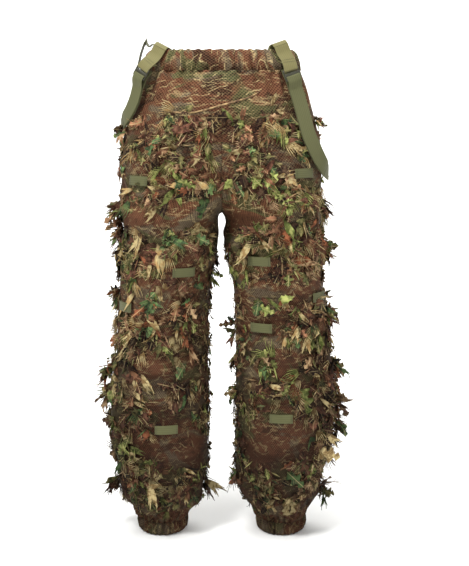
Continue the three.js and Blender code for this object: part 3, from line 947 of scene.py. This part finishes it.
class LeafHeap:
    """Collects leaves of every kind for one side, and makes one piece of them."""

    def __init__(self, name, seed, sizes):
        self.name, self.draw, self.sizes = name, np.random.default_rng(seed), sizes
        self.parts = {}
        self.start = 0

    def add(self, kind, drop, angle, reach, dyes, **shape):
        """Adds one leaf of a kind at each drop and angle."""
        (outline, faces), long, wide, _ = LEAF_KINDS[kind]
        draw, side, count, corners = self.draw, SIDES[self.name], len(drop), len(outline)
        if not count:
            return
        base = cloth_point(side, drop, angle, folds(drop, angle, side, self.sizes) + SEWN_LIFT)
        size = reach * long * draw.uniform(0.75, 1.25, count)
        breadth = size * wide / long * draw.uniform(0.8, 1.2, count)
        points, own = bent_leaves(outline, base, cloth_frame(side, drop, angle), size, breadth, draw, **shape)
        shades = np.array([[srgb(code)[:3] for code in LEAF_DYES[dye][:2]] for dye in dyes])
        # Painted light and shade: each leaf's brightness is partly its own tone and partly painted light,
        # times the painted shade down the legs, which also fades its straw lines.
        light = draw.uniform(0.5, 1.7, (count, 1)) * (painted_shade_kept(drop) * 1.15)[:, None]
        strawed = draw.choice([0.15, 0.6, 0.95], count, p=[0.3, 0.3, 0.4])
        rim = abs(outline[:, 0]) / abs(outline[:, 0]).max() * np.ones((count, 1))
        if kind in CUT_FINGERS:
            strawed, rim = 0.25 * strawed, 0 * rim
        added = {
            "points": points.reshape(-1, 3),
            "faces": (faces[None] + corners * np.arange(count)[:, None, None] + self.start).reshape(-1, 4),
            "leaf": own.reshape(-1, 2),
            "print": (own + draw.uniform(0, 5, (count, 1, 2))).reshape(-1, 2),
            "rim": rim.ravel(),
            "dye": np.repeat(shades[:, 0] * light, corners, axis=0),
            "second_dye": np.repeat(shades[:, 1] * light, corners, axis=0),
            "strawed": np.repeat(strawed * (0.25 + 0.75 * painted_shade_kept(drop)), corners),
        }
        for key, values in added.items():
            self.parts.setdefault(key, []).append(values)
        self.start += count * corners

    def make(self, piece_name):
        """Makes the piece, with each leaf's dyes, which carry its painted light and shade, as attributes."""
        parts = {key: np.concatenate(value) for key, value in self.parts.items()}
        maps = {key: parts[key] for key in ("leaf", "print")}
        piece = new_object(piece_name, parts["points"], parts["faces"].tolist(), material_for("leaf"), **maps)
        for key in ("dye", "second_dye"):
            layer = piece.data.attributes.new(key, "FLOAT_COLOR", "POINT")
            values = parts[key] * np.minimum(1, LIGHTEST_DYE / parts[key].max(axis=1, keepdims=True))
            layer.data.foreach_set("color", np.c_[values, np.ones(len(values))].ravel())
        for key in ("rim", "strawed"):
            layer = piece.data.attributes.new(key, "FLOAT", "POINT")
            layer.data.foreach_set("value", parts[key])
        add_wall(piece, 0.0005, 0.0)
        return piece


DYE_NAMES = list(LEAF_DYES)
DYE_SHARES = np.array([LEAF_DYES[d][2] for d in DYE_NAMES])
DYE_SHARES = DYE_SHARES / DYE_SHARES.sum()


def row_reach(drop):
    """How far a row goes each way from the side seam: short of the middle above the crotch."""
    if drop < RISE:
        return float(inner_angle(np.array([drop]))[0]) - 0.10
    return 2.55 if drop < 0.43 else math.pi - 0.10


def bareness(name, drop, angle, hang=0.018):
    """1 inside a bare patch and 0 outside it; leaves that hang into a patch are sewn `hang` above it."""
    bare = np.zeros(np.shape(drop))
    for at, degrees, tall, wide in BARE_PATCHES[name]:
        away = np.hypot((drop - at - hang) / tall, (np.degrees(angle) - degrees) / wide)
        bare = np.maximum(bare, 1 - ease(away, 0.85, 1.1))
    return bare


def under_leaves(name, drop, angle):
    """How much the leaves shade the cloth: 1 under the rows and 0 on bare cloth."""
    return ease(drop, 0.105, 0.135) * (1 - ease(drop, 0.985, 1.005)) * (1 - bareness(name, drop, angle, 0.0))


def tab_places(name):
    """The drop and angle of each foliage tab on one side."""
    places = []
    for node in sorted(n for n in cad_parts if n.startswith("foliage_tab") and n.endswith(name)):
        low, high = (np.array(corner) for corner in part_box(node))
        x, y, z = (low + high) / 2
        centre, width, depth = (float(v[0]) for v in section(np.array([-z])))
        places.append((-z, math.atan2(-y / depth, (SIDES[name] * x - centre) / width), (width + depth) / 2))
    return places


def over_tab(name, drop, angle):
    """1 where a leaf would hang over a foliage tab."""
    hides = np.zeros(len(drop))
    for at, turn, girth in tab_places(name):
        beside = abs(angle - turn) * girth < 0.040
        hides = np.maximum(hides, beside & (drop > at - 0.040) & (drop < at + 0.016))
    return hides


def brace_zone(drop, angle):
    """1 where a brace hangs close to the cloth, so that leaves there are few and lie flat."""
    return (drop < 0.30) * (abs(angle) < math.radians(46))


def row_spots(heap, level):
    """Where a row's clumps are sewn: even steps with some play, on a row that wanders on the cloth.

    The wander is a sum of two sines of the angle. Bare patches and tabs stop the clumps, and the braces
    and the side seam thin them.
    """
    name, draw = heap.name, heap.draw
    reach = row_reach(level)
    _, width, depth = (float(v[0]) for v in section(np.array([level])))
    girth = (width + depth) / 2
    count = int(2 * reach * girth / heap.sizes.leaf_step)
    angle = -reach + (np.arange(count) + draw.uniform(0, 1, count)) * 2 * reach / count
    shift = draw.uniform(0, TURN, 2)
    drop = level + 0.006 * np.sin(3 * angle + shift[0]) + 0.004 * np.sin(7 * angle + shift[1])
    drop = drop + draw.normal(0, 0.003, count)
    keep = draw.random(count) < np.where(drop < HIP_LEAVES_END, 0.78, 0.72)
    keep &= (bareness(name, drop, angle) < 0.5) & (over_tab(name, drop, angle) < 0.5)
    keep &= ~brace_zone(drop, angle) | (draw.random(count) < 0.35)
    keep &= (abs(angle) >= 0.5) | (draw.random(count) < 0.5)
    return drop[keep], angle[keep], girth


def leaf_dyes(kind, clump_dye, draw):
    """The dyes of a row's leaves: half keep their clump's dye, and straw is mostly for cut fingers."""
    stray = draw.random(len(clump_dye)) < 0.5
    dye = np.where(stray, draw.choice(len(DYE_NAMES), len(clump_dye), p=DYE_SHARES), clump_dye)
    pale = DYE_NAMES.index("straw")
    if kind in CUT_FINGERS:
        return np.where(draw.random(len(dye)) < 0.34, pale, dye)
    return np.where((dye == pale) & (draw.random(len(dye)) < 0.9), DYE_NAMES.index("olive"), dye)


def add_row(heap, level):
    """Adds one row of clumps, in which each kind of leaf comes as often as its share says.

    Leaves under a brace lie flattest, those beside and inside the leg lie flat, and the rest stand out.
    """
    draw = heap.draw
    drop, angle, girth = row_spots(heap, level)
    clump_dye = draw.choice(len(DYE_NAMES), len(angle), p=DYE_SHARES)
    heading = draw.normal(0, 0.5, len(angle))
    for kind, (_, _, _, share) in LEAF_KINDS.items():
        per = draw.poisson(CLUMP_LEAVES * share, len(angle))
        at_angle = np.repeat(angle, per) + draw.normal(0, 0.010 / girth, per.sum())
        at_drop = np.repeat(drop, per) + draw.normal(0, 0.009, per.sum())
        dye = leaf_dyes(kind, np.repeat(clump_dye, per), draw)
        close = brace_zone(at_drop, at_angle)
        inside = abs(at_angle) > 2.3
        flat = (abs(at_angle) < 0.6) | inside
        reach = heap.sizes.leaf * np.where(inside, 0.6, 1.0) * np.where(at_drop < HIP_LEAVES_END, 0.9, 1.0)
        reach = reach * (1 - 0.35 * ease(at_drop, 0.88, 0.96))
        turned = np.repeat(heading, per)
        for lift, here in ((0.10, close), (0.16, flat & ~close), (0.45, ~flat & ~close)):
            dyes = [DYE_NAMES[d] for d in dye[here]]
            ways = {"lift": (0.02, lift), "heading": turned[here][:, None]}
            heap.add(kind, at_drop[here], at_angle[here], reach[here], dyes, **ways)


def add_tuft(heap, at, degrees, reach):
    """Adds a clump that stands well out: two leaves of each of four kinds, at two of eight loose places."""
    draw = heap.draw
    drop = at + draw.normal(0, 0.006, 8)
    angle = math.radians(degrees) + draw.normal(0, 0.06, 8)
    for kind in ("oak", "fern", "holly", "grass"):
        dyes = draw.choice(DYE_NAMES, 2, p=DYE_SHARES)
        order = draw.permutation(8)[:2]
        heap.add(kind, drop[order], angle[order], np.full(2, reach), list(dyes), lift=(0.5, 1.3))


def leaf_rows(piece_name, name, top, bottom, seed, sizes):
    """The leaves between two drops: rows of clumps, then tufts, then single large leaves."""
    heap = LeafHeap(name, seed, sizes)
    rows = max(1, round((bottom - top) / sizes.row_step))
    for row in range(rows):
        add_row(heap, top + (row + 0.5) * (bottom - top) / rows)
    for at, degrees, reach in TUFTS[name]:
        if top <= at < bottom:
            for sign in (1, -1) if degrees < 90 else (1,):
                add_tuft(heap, at, sign * degrees, reach)
    for at, degrees, kind, dye, reach, heading in SHOWN_LEAVES[name]:
        if top <= at < bottom:
            ways = {"lift": (0.35, 0.5), "turn": 0.05, "heading": heading}
            heap.add(kind, np.array([at]), np.radians([degrees]), np.array([reach]), [dye], **ways)
    return heap.make(piece_name)


# Each stretch of leaves: its name, its ends, the function that bakes its transform, and the CAD strips that
# it stands for.
LEAF_STRETCHES = (
    ("hip", 0.100, 0.345, bend_at_hip, ("leaf_strip_hip_front", "leaf_strip_hip_back")),
    ("thigh_upper", 0.345, 0.395, bend_at_hip, ("leaf_strip_thigh_1",)),
    ("thigh_lower", 0.395, 0.500, bend_at_hip, ("leaf_strip_thigh_2",)),
    ("knee", 0.515, 0.665, bend_at_knee, ("leaf_strip_knee",)),
    ("shin_upper", 0.665, 0.725, bend_at_knee, ("leaf_strip_shin_1",)),
    ("shin_middle", 0.725, 0.860, bend_at_knee, ("leaf_strip_shin_2",)),
    ("shin_lower", 0.860, 0.992, bend_at_knee, ("leaf_strip_shin_3",)),
)


class GHILLIE_OT_leaves(bpy.types.Operator):
    """Makes the rows of cut cloth leaves"""

    bl_idname = "ghillie.leaves"
    bl_label = "Leaf rows"

    def execute(self, context):
        sizes = context.scene.ghillie_sizes
        for name in SIDES:
            for i, (stretch_name, top, bottom, bend, strips) in enumerate(LEAF_STRETCHES):
                seed = 20 + i + (10 if name == "left" else 0)
                piece = leaf_rows(f"leaves_{stretch_name}_{name}", name, top, bottom, seed, sizes)
                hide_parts(*[f"{strip}_{name}" for strip in strips])
                bend(piece, name)
        return {"FINISHED"}


# ---- webbing ----


def swept_mesh(piece_name, points, material, uv):
    """A closed tube from an array of rings of points, with its two ends capped."""
    piece = new_object(piece_name, points, tube_faces(*points.shape[:2]), material, cloth=uv)
    weld_outwards(piece)
    return piece


def ribbon(piece_name, centre, across, outward, width, thickness, lift, material):
    """Webbing carried along a path: a flat section with rounded edges, `lift` outside each point."""
    half, wall = width / 2, thickness / 2
    outer = [
        (-half, 0.0), (0.3 * wall - half, 0.8 * wall), (wall - half, wall), (-half / 2, 0.92 * wall),
        (0.0, 0.9 * wall), (half / 2, 0.92 * wall), (half - wall, wall), (half - 0.3 * wall, 0.8 * wall),
    ]
    profile = np.array(outer + [(-x, -y) for x, y in outer])
    lift = np.broadcast_to(np.asarray(lift, float).reshape(-1, 1, 1), (len(centre), 1, 1))
    points = centre[:, None] + profile[None, :, 0:1] * across[:, None]
    points = points + (profile[None, :, 1:2] + lift + wall) * outward[:, None]
    u, v = np.broadcast_arrays(profile[None, :, 0], run_along(centre)[:, None])
    uv = np.stack([u, v], axis=-1)
    return swept_mesh(piece_name, points, material, uv)


# The braces' routes: drop in millimetres, angle in degrees, and stand-off in millimetres.
BRACE_ROUTES = {
    "left": (
        (-8, 40, 8), (18, 38, 12), (43, 38, 13), (66, 37, 13), (98, 36, 12), (136, 36, 12),
        (172, 36, 12), (200, 34, 13), (222, 31, 14), (240, 26, 14), (253, 18, 13), (259, 7, 12),
        (256, -8, 13), (238, -24, 13), (196, -38, 12), (120, -42, 12), (50, -40, 12), (-7, -38, 8),
    ),
    "right": (
        (-3, 36, 8), (20, 33, 13), (38, 30, 18), (53, 28, 20), (76, 27, 20), (102, 26, 17),
        (124, 22, 14), (142, 16, 13), (156, 8, 13), (162, -3, 14), (153, -13, 15), (120, -16, 16),
        (76, -15, 18), (28, -13, 23), (0, -13, 23), (-17, -14, 15), (-8, -15, 9),
    ),
}
# How many times the route's angle the webbing's face turns by, at the front and at the back.
FACE_TURN = {"left": (1.7, 1.9), "right": (1.55, 0.3)}
# How far down a brace the slider sits, and how far down its doubled strap is stitched, as a share of it.
SLIDER_PLACE = 0.062
DOUBLED_SHARE = 0.42
# How far off the path a second layer lies, the slider sits, and the strap passes over the slider's bars.
LAYER_RISE = 0.0036
SLIDER_SEAT = 2 * LAYER_RISE + 0.0019
OVER_SLIDER = SLIDER_SEAT + 0.0018


def spline(points, samples):
    """A smooth curve through the points, whose knots are spaced by the root of their distances."""
    points = np.concatenate([[2 * points[0] - points[1]], points, [2 * points[-1] - points[-2]]])
    gaps = np.linalg.norm(np.diff(points[:, :3], axis=0), axis=1) ** 0.5
    knots = np.concatenate([[0], np.cumsum(gaps)])
    t = np.linspace(knots[1], knots[-2], samples)
    i = np.clip(np.searchsorted(knots, t, side="right") - 1, 1, len(points) - 3)

    def share(a, b, ta, tb):
        """The point between a and b that t is at between their knots."""
        part = ((t - ta) / (tb - ta))[:, None]
        return a * (1 - part) + b * part

    p = [points[i + j] for j in (-1, 0, 1, 2)]
    k = [knots[i + j] for j in (-1, 0, 1, 2)]
    a1, a2, a3 = (share(p[j], p[j + 1], k[j], k[j + 1]) for j in range(3))
    b1, b2 = share(a1, a2, k[0], k[2]), share(a2, a3, k[1], k[3])
    return share(b1, b2, k[1], k[2])


def path_ways(centre, looks):
    """The unit vectors along a path, across it and out of it, where `looks` are the ways it faces."""
    tangent = unit(np.gradient(centre, axis=0))
    across = unit(np.cross(tangent, looks))
    return tangent, across, np.cross(across, tangent)


def brace_path(name):
    """The brace's length, centre line, and the ways along, across and out of it, at even steps."""
    side = SIDES[name]
    route = np.array(BRACE_ROUTES[name], float)
    angle = np.radians(route[:, 1])
    points = cloth_point(side, route[:, 0] / 1000, angle, route[:, 2] / 1000)
    turned = np.where(angle > 0, *FACE_TURN[name]) * angle
    looks = np.stack([side * np.cos(turned), -np.sin(turned), 0 * angle], axis=1)
    dense = spline(np.hstack([points, looks]), 1600)
    run = run_along(dense[:, :3])
    even = np.linspace(0, run[-1], 360)
    dense = np.stack([np.interp(even, run, dense[:, j]) for j in range(6)], axis=1)
    return even, dense[:, :3], *path_ways(dense[:, :3], dense[:, 3:])


def stretch(name, low, high):
    """The part of a brace's path between two lengths: its lengths, centre line and three ways."""
    path = brace_path(name)
    keep = (path[0] >= low) & (path[0] <= high)
    return [values[keep] for values in path]


def over_the_top(name, end):
    """A smooth path from inside the waistband over its top edge to one end of a brace."""
    side = SIDES[name]
    drop, degrees, out = BRACE_ROUTES[name][end]
    angle = math.radians(degrees)
    places = [(0.030, -0.0100), (0.012, -0.0098), (-0.004, -0.0086), (drop / 1000 - 0.006, -0.0008)]
    places.append((drop / 1000, out / 1000))
    drops, outs = np.array(places).T
    centre = spline(cloth_point(side, drops, angle, outs), 40)
    across = brace_path(name)[3]
    ways = across[end] * np.ones((len(centre), 1)) * (1 if end == 0 else -1)
    return centre, ways, unit(np.cross(ways, unit(np.gradient(centre, axis=0))))


def stitch_row(piece_name, start, end, outward, count):
    """A row of stitches: fat threads of six sides that rise from the cloth and sink into it again."""
    along = (end - start) / count
    way = along / np.linalg.norm(along)
    side_way = np.cross(way, outward)
    turn = np.linspace(0, TURN, 6, endpoint=False)
    share = np.array([0.08, 0.3, 0.7, 0.92])
    height = np.array([-0.0002, 0.0004, 0.0004, -0.0002])
    fat = 0.00045 * np.array([0.15, 1.0, 1.0, 0.15])
    centre = start + np.arange(count)[:, None, None] * along + share[:, None] * along
    centre = centre + height[:, None] * outward
    rim = np.cos(turn)[:, None] * side_way + np.sin(turn)[:, None] * outward
    points = centre[:, :, None] + fat[None, :, None, None] * rim
    faces = [face for i in range(count) for face in tube_faces(4, 6, 24 * i)]
    piece = new_object(piece_name, points, faces, material_for("thread"))
    weld_outwards(piece)
    return piece


def strap_lifts(run):
    """How far the straps rise off the path to pass over the slider's bars and dip between them.

    The front strap rises over the upper bar and dips into the slot below it; the doubled strap comes out
    of the lower slot, passes over the lower bar and settles on the inner layer.
    """
    place = run - SLIDER_PLACE
    front = OVER_SLIDER * ease(place, -0.050, -0.015) * (1 - 0.75 * ease(place, -0.0065, -0.0030))
    doubled = OVER_SLIDER * (0.25 + 0.75 * ease(place, 0.0005, 0.0050))
    doubled = doubled + (LAYER_RISE - doubled) * ease(place, 0.014, 0.034)
    return front, doubled


def make_strap(key, name, part, lift, finish_key, sizes, narrowed=1.0):
    """One length of webbing on a brace."""
    _, centre, _, across, outward = part
    width = narrowed * sizes.webbing
    strap = ribbon(
        f"brace_{key}_{name}", centre, across, outward, width, sizes.webbing_wall, lift,
        material_for(finish_key),
    )
    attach(strap, f"brace_{name}")
    return strap


def make_straps(name, sizes):
    """A brace's four lengths of webbing: front, its end turned under, long and doubled.

    The front strap ends in the slider's upper slot and its end turns back under it. The long strap starts
    sunk behind the slider, and the doubled one lies on it down to its stitches.
    """
    wall = sizes.webbing_wall
    total = brace_path(name)[0][-1]
    stitched = DOUBLED_SHARE * total
    part = stretch(name, 0.0, SLIDER_PLACE - 0.0035)
    front = make_strap("front", name, part, strap_lifts(part[0])[0], "faded", sizes)
    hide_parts(f"brace_front_strap_{name}")
    part = stretch(name, SLIDER_PLACE - 0.030, SLIDER_PLACE - 0.0045)
    under = strap_lifts(part[0])[0] * ease(part[0], part[0][0], part[0][0] + 0.008) - wall - 0.0001
    make_strap("front_turn", name, part, under, "faded", sizes, narrowed=0.97)
    part = stretch(name, SLIDER_PLACE - 0.013, total)
    sunk = -0.0022 * (1 - ease(part[0], SLIDER_PLACE - 0.002, SLIDER_PLACE + 0.006))
    long = make_strap("long", name, part, sunk, "webbing", sizes)
    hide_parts(f"brace_long_strap_{name}")
    part = stretch(name, SLIDER_PLACE + 0.0005, stitched)
    tail = ease(part[0], stitched - 0.02, stitched)
    lift = strap_lifts(part[0])[1] * (1 - tail) + (wall + 0.0003) * tail
    doubled = make_strap("return", name, part, lift, "webbing", sizes)
    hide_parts(f"brace_return_strap_{name}")
    rows = ((SLIDER_PLACE - 0.030, 0), (SLIDER_PLACE - 0.0255, 0), (stitched - 0.008, 1))
    for i, (spot, strap_lift) in enumerate(rows):
        run, centre, _, across, outward = (v[0] for v in stretch(name, spot, spot + 0.006))
        height = float(strap_lifts(np.array([run]))[strap_lift][0]) + wall
        base = centre + outward * (height - (0.0010 if strap_lift else 0))
        reach = across * (sizes.webbing / 2 - 0.002)
        seam = stitch_row(f"brace_stitch_{i + 1}_{name}", base - reach, base + reach, outward, 10)
        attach(seam, f"brace_{name}")


def make_loops(name, sizes):
    """The ends of a brace that go over the waistband to the anchors inside it."""
    for place, end, key in (("front", 0, "faded"), ("back", -1, "webbing")):
        centre, across, outward = over_the_top(name, end)
        loop = ribbon(
            f"brace_loop_{place}_{name}", centre, across, outward, sizes.webbing, sizes.webbing_wall, 0.0,
            material_for(key),
        )
        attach(loop, "waist")
        finish_node(f"brace_anchor_{place}_{name}", "sewn")


class GHILLIE_OT_braces(bpy.types.Operator):
    """Makes the braces' webbing and its stitching"""

    bl_idname = "ghillie.braces"
    bl_label = "Braces"

    def execute(self, context):
        sizes = context.scene.ghillie_sizes
        for name in SIDES:
            make_straps(name, sizes)
            make_loops(name, sizes)
        return {"FINISHED"}


def slider_mesh(piece_name, place, width, height, thickness, bar, slot):
    """A three-bar slider: rounded bars swept across the plate, joined by two rounded side rails.

    A bar's section is a squared circle, |x|^(1/0.6) + |y|^(1/0.6) = 1. Teeth along the middle bar are a
    square wave of its thickness.
    """
    seat, along, across, out = place
    turn = np.linspace(0, TURN, 10, endpoint=False)
    square_cos, square_sin = squared(np.cos(turn), 0.6), squared(np.sin(turn), 0.6)
    points, faces = [], []

    def rod(middle, reach, half_a, half_b, way_a, teeth=0):
        """A straight bar from one end of `reach` to the other."""
        stops = 4 * teeth + 1 if teeth else 7
        share = np.linspace(-1, 1, stops)
        tooth = 0.72 + 0.38 * ((np.arange(stops) // 2) % 2) if teeth else np.ones(stops)
        a = half_a * (1 - 0.08 * share**2)[:, None] * square_cos
        b = half_b * tooth[:, None] * square_sin
        rings = (middle + share[:, None] * reach)[:, None]
        rings = rings + a[..., None] * way_a + b[..., None] * out
        base = sum(len(block) for block in points)
        points.append(rings.reshape(-1, 3))
        faces.extend(tube_faces(stops, 10, base))

    rail = (width - slot) / 4
    inner = width / 2 - rail
    middle_bar = height / 2 - bar - 0.0035
    rod(seat, across * inner, middle_bar, thickness / 2, along, teeth=12)
    for sign in (-1, 1):
        rod(seat + along * sign * (height - bar) / 2, across * inner, bar / 2, thickness / 2, along)
        rod(seat + across * sign * inner, along * height / 2, rail, 0.525 * thickness, across)
    piece = new_object(piece_name, np.concatenate(points), faces, material_for("nylon"))
    weld_outwards(piece)
    return piece


class GHILLIE_OT_sliders(bpy.types.Operator):
    """Makes the moulded sliders"""

    bl_idname = "ghillie.sliders"
    bl_label = "Sliders"

    def execute(self, context):
        for name in SIDES:
            _, centre, tangent, across, outward = (v[0] for v in stretch(name, SLIDER_PLACE, 1.0))
            seat = centre + outward * SLIDER_SEAT
            ways = (seat, tangent, across, outward)
            piece = slider_mesh(
                f"slider_{name}", ways, width=0.038, height=0.024, thickness=0.003, bar=0.0045, slot=0.033
            )
            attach(piece, f"slider_{name}")
            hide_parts(f"brace_slider_{name}")
        return {"FINISHED"}


# ---- foliage tabs ----


def tab_points(node):
    """A tab's centre and its three ways, from the longest, middle and shortest spread of its box."""
    points = cad_points(node)
    centre = (points.min(axis=0) + points.max(axis=0)) / 2
    _, _, ways = np.linalg.svd(np.unique(np.round(points - centre, 6), axis=0), full_matrices=False)
    long, tall, out = ways
    if np.dot(out, centre * (1, 1, 0)) < 0:
        out = -out
    if tall[2] < 0:
        tall = -tall
    return centre, long, tall, out


def foliage_tab(piece_name, node, sizes):
    """A webbing tab sewn down at both ends: a rounded slab whose middle bows off the cloth."""
    centre, long, tall, out = tab_points(node)
    u = np.linspace(-1, 1, 25)
    turn = np.linspace(0, TURN, 16, endpoint=False)
    half_long, half_tall, wall = 0.025, 0.010, 0.0008
    run = u * half_long
    b, c = squared(np.cos(turn), 0.25) * half_tall, squared(np.sin(turn), 0.7) * wall
    bow = sizes.tab_bow * (1 - u**2) ** 2 - 0.0016 * abs(u) ** 3
    points = centre + run[:, None, None] * long + b[None, :, None] * tall
    points = points + (bow[:, None, None] + c[None, :, None]) * out
    uv = np.stack(np.broadcast_arrays(b[None], run[:, None]), axis=-1)
    piece = swept_mesh(piece_name, points, material_for("webbing"), uv)
    ends = [centre + s * 0.0215 * long + 0.0002 * out for s in (-1, 1)]
    return piece, ends, tall, out


class GHILLIE_OT_tabs(bpy.types.Operator):
    """Makes the webbing tabs that hold natural foliage"""

    bl_idname = "ghillie.tabs"
    bl_label = "Foliage tabs"

    def execute(self, context):
        sizes = context.scene.ghillie_sizes
        for node in sorted(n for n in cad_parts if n.startswith("foliage_tab")):
            name = node.rsplit("_", 1)[1]
            piece, ends, tall, out = foliage_tab(node.replace("foliage_tab", "tab"), node, sizes)
            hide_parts(node)
            reach = tall * 0.0085
            seams = [
                stitch_row(f"{piece.name}_stitch_{i + 1}", end - reach, end + reach, out, 6)
                for i, end in enumerate(ends)
            ]
            bend = bend_at_hip if "hip" in node or "thigh" in node else bend_at_knee
            for part in [piece, *seams]:
                bend(part, name)
        return {"FINISHED"}


class GHILLIE_OT_carried(bpy.types.Operator):
    """Gives the carried-over elastics their woven finish"""

    bl_idname = "ghillie.carried"
    bl_label = "Elastics"

    def execute(self, context):
        for node in ("waist_elastic", "hem_elastic_left", "hem_elastic_right"):
            finish_node(node, "tape")
        return {"FINISHED"}


class GHILLIE_OT_stage(bpy.types.Operator):
    """Sets the pale floor, the soft lights and the camera"""

    bl_idname = "ghillie.stage"
    bl_label = "Stage"

    def execute(self, context):
        scene = context.scene
        floor_z = -HEM_DROP - 0.001
        profile = np.array(
            [(-8.0, 0.0), (2.2, 0.0), (3.0, 0.08), (3.6, 0.4), (3.9, 1.0), (4.0, 2.0), (4.0, 6.0)]
        )
        x = np.array([-9.0, 9.0])
        points = np.array([[(xi, y, floor_z + z) for xi in x] for y, z in profile])
        floor = new_object(
            "studio_floor", points, grid_faces(len(profile), 2).tolist(), material_for("paper")
        )
        lights = (
            ("key", (-1.4, -2.0, 2.5), 1.1, 140, (0, 0, -0.30)),
            ("fill", (2.3, -2.0, 1.2), 1.8, 38, (0, 0, -0.4)),
            ("sweep", (0.0, 2.2, 2.2), 2.4, 120, (0, 3.2, -1.0)),
            ("floor", (0.0, -0.6, 2.9), 2.0, 60, (0, -0.8, -1.0)),
        )
        for name, place, size, power, target in lights:
            lamp = bpy.data.lights.new(name, "AREA")
            lamp.shape = "DISK"
            lamp.size = size
            lamp.energy = power
            light = bpy.data.objects.new(name, lamp)
            light.location = place
            light.rotation_euler = look_along(np.array(target) - np.array(place))
            scene.collection.objects.link(light)
        world = bpy.data.worlds.new("studio_air")
        world.use_nodes = True
        background = world.node_tree.nodes["Background"]
        background.inputs["Color"].default_value = (1, 1, 1, 1)
        background.inputs["Strength"].default_value = 0.33
        scene.world = world
        lens = bpy.data.cameras.new("camera")
        lens.sensor_fit = "VERTICAL"
        lens.sensor_height = 24.0
        lens.lens = 52.9
        lens.shift_x = 0.0222
        eye, target = np.array([0.0, -2.7, -0.06]), np.array([0.0, 0.0, -0.502])
        camera = bpy.data.objects.new("camera", lens)
        camera.location = eye
        camera.rotation_euler = look_along(target - eye)
        scene.collection.objects.link(camera)
        scene.camera = camera
        scene.view_settings.view_transform = "Standard"
        return {"FINISHED"}


def look_along(way):
    """The rotation that points a camera's or a light's -Z along a direction, with +Z up."""
    flat = math.hypot(way[0], way[1])
    return (math.pi / 2 + math.atan2(way[2], flat), 0.0, math.atan2(way[1], way[0]) - math.pi / 2)


class GHILLIE_PT_panel(bpy.types.Panel):
    """Lists the trousers' pieces"""

    bl_idname = "GHILLIE_PT_panel"
    bl_label = "Ghillie trousers"
    bl_space_type = "VIEW_3D"
    bl_region_type = "UI"
    bl_category = "Ghillie"

    def draw(self, context):
        for group in (context.scene.ghillie_sizes, context.scene.ghillie_colours):
            for key in group.bl_rna.properties.keys():
                if key not in ("rna_type", "name"):
                    self.layout.prop(group, key)
        for operator in OPERATORS:
            self.layout.operator(operator.bl_idname)


OPERATORS = (
    GHILLIE_OT_stage,
    GHILLIE_OT_cloth,
    GHILLIE_OT_casings,
    GHILLIE_OT_leaves,
    GHILLIE_OT_tabs,
    GHILLIE_OT_braces,
    GHILLIE_OT_sliders,
    GHILLIE_OT_carried,
)
CLASSES = (GhillieColours, GhillieSizes, *OPERATORS, GHILLIE_PT_panel)


def register():
    """Registers the classes and the scene's property groups."""
    for cls in CLASSES:
        bpy.utils.register_class(cls)
    bpy.types.Scene.ghillie_colours = bpy.props.PointerProperty(type=GhillieColours)
    bpy.types.Scene.ghillie_sizes = bpy.props.PointerProperty(type=GhillieSizes)


def unregister():
    """Removes what register() added."""
    del bpy.types.Scene.ghillie_colours
    del bpy.types.Scene.ghillie_sizes
    for cls in reversed(CLASSES):
        bpy.utils.unregister_class(cls)


def main():
    """Builds every piece."""
    register()
    bpy.ops.ghillie.stage()
    bpy.ops.ghillie.cloth()
    bpy.ops.ghillie.casings()
    bpy.ops.ghillie.leaves()
    bpy.ops.ghillie.tabs()
    bpy.ops.ghillie.braces()
    bpy.ops.ghillie.sliders()
    bpy.ops.ghillie.carried()


if __name__ == "__main__":
    main()
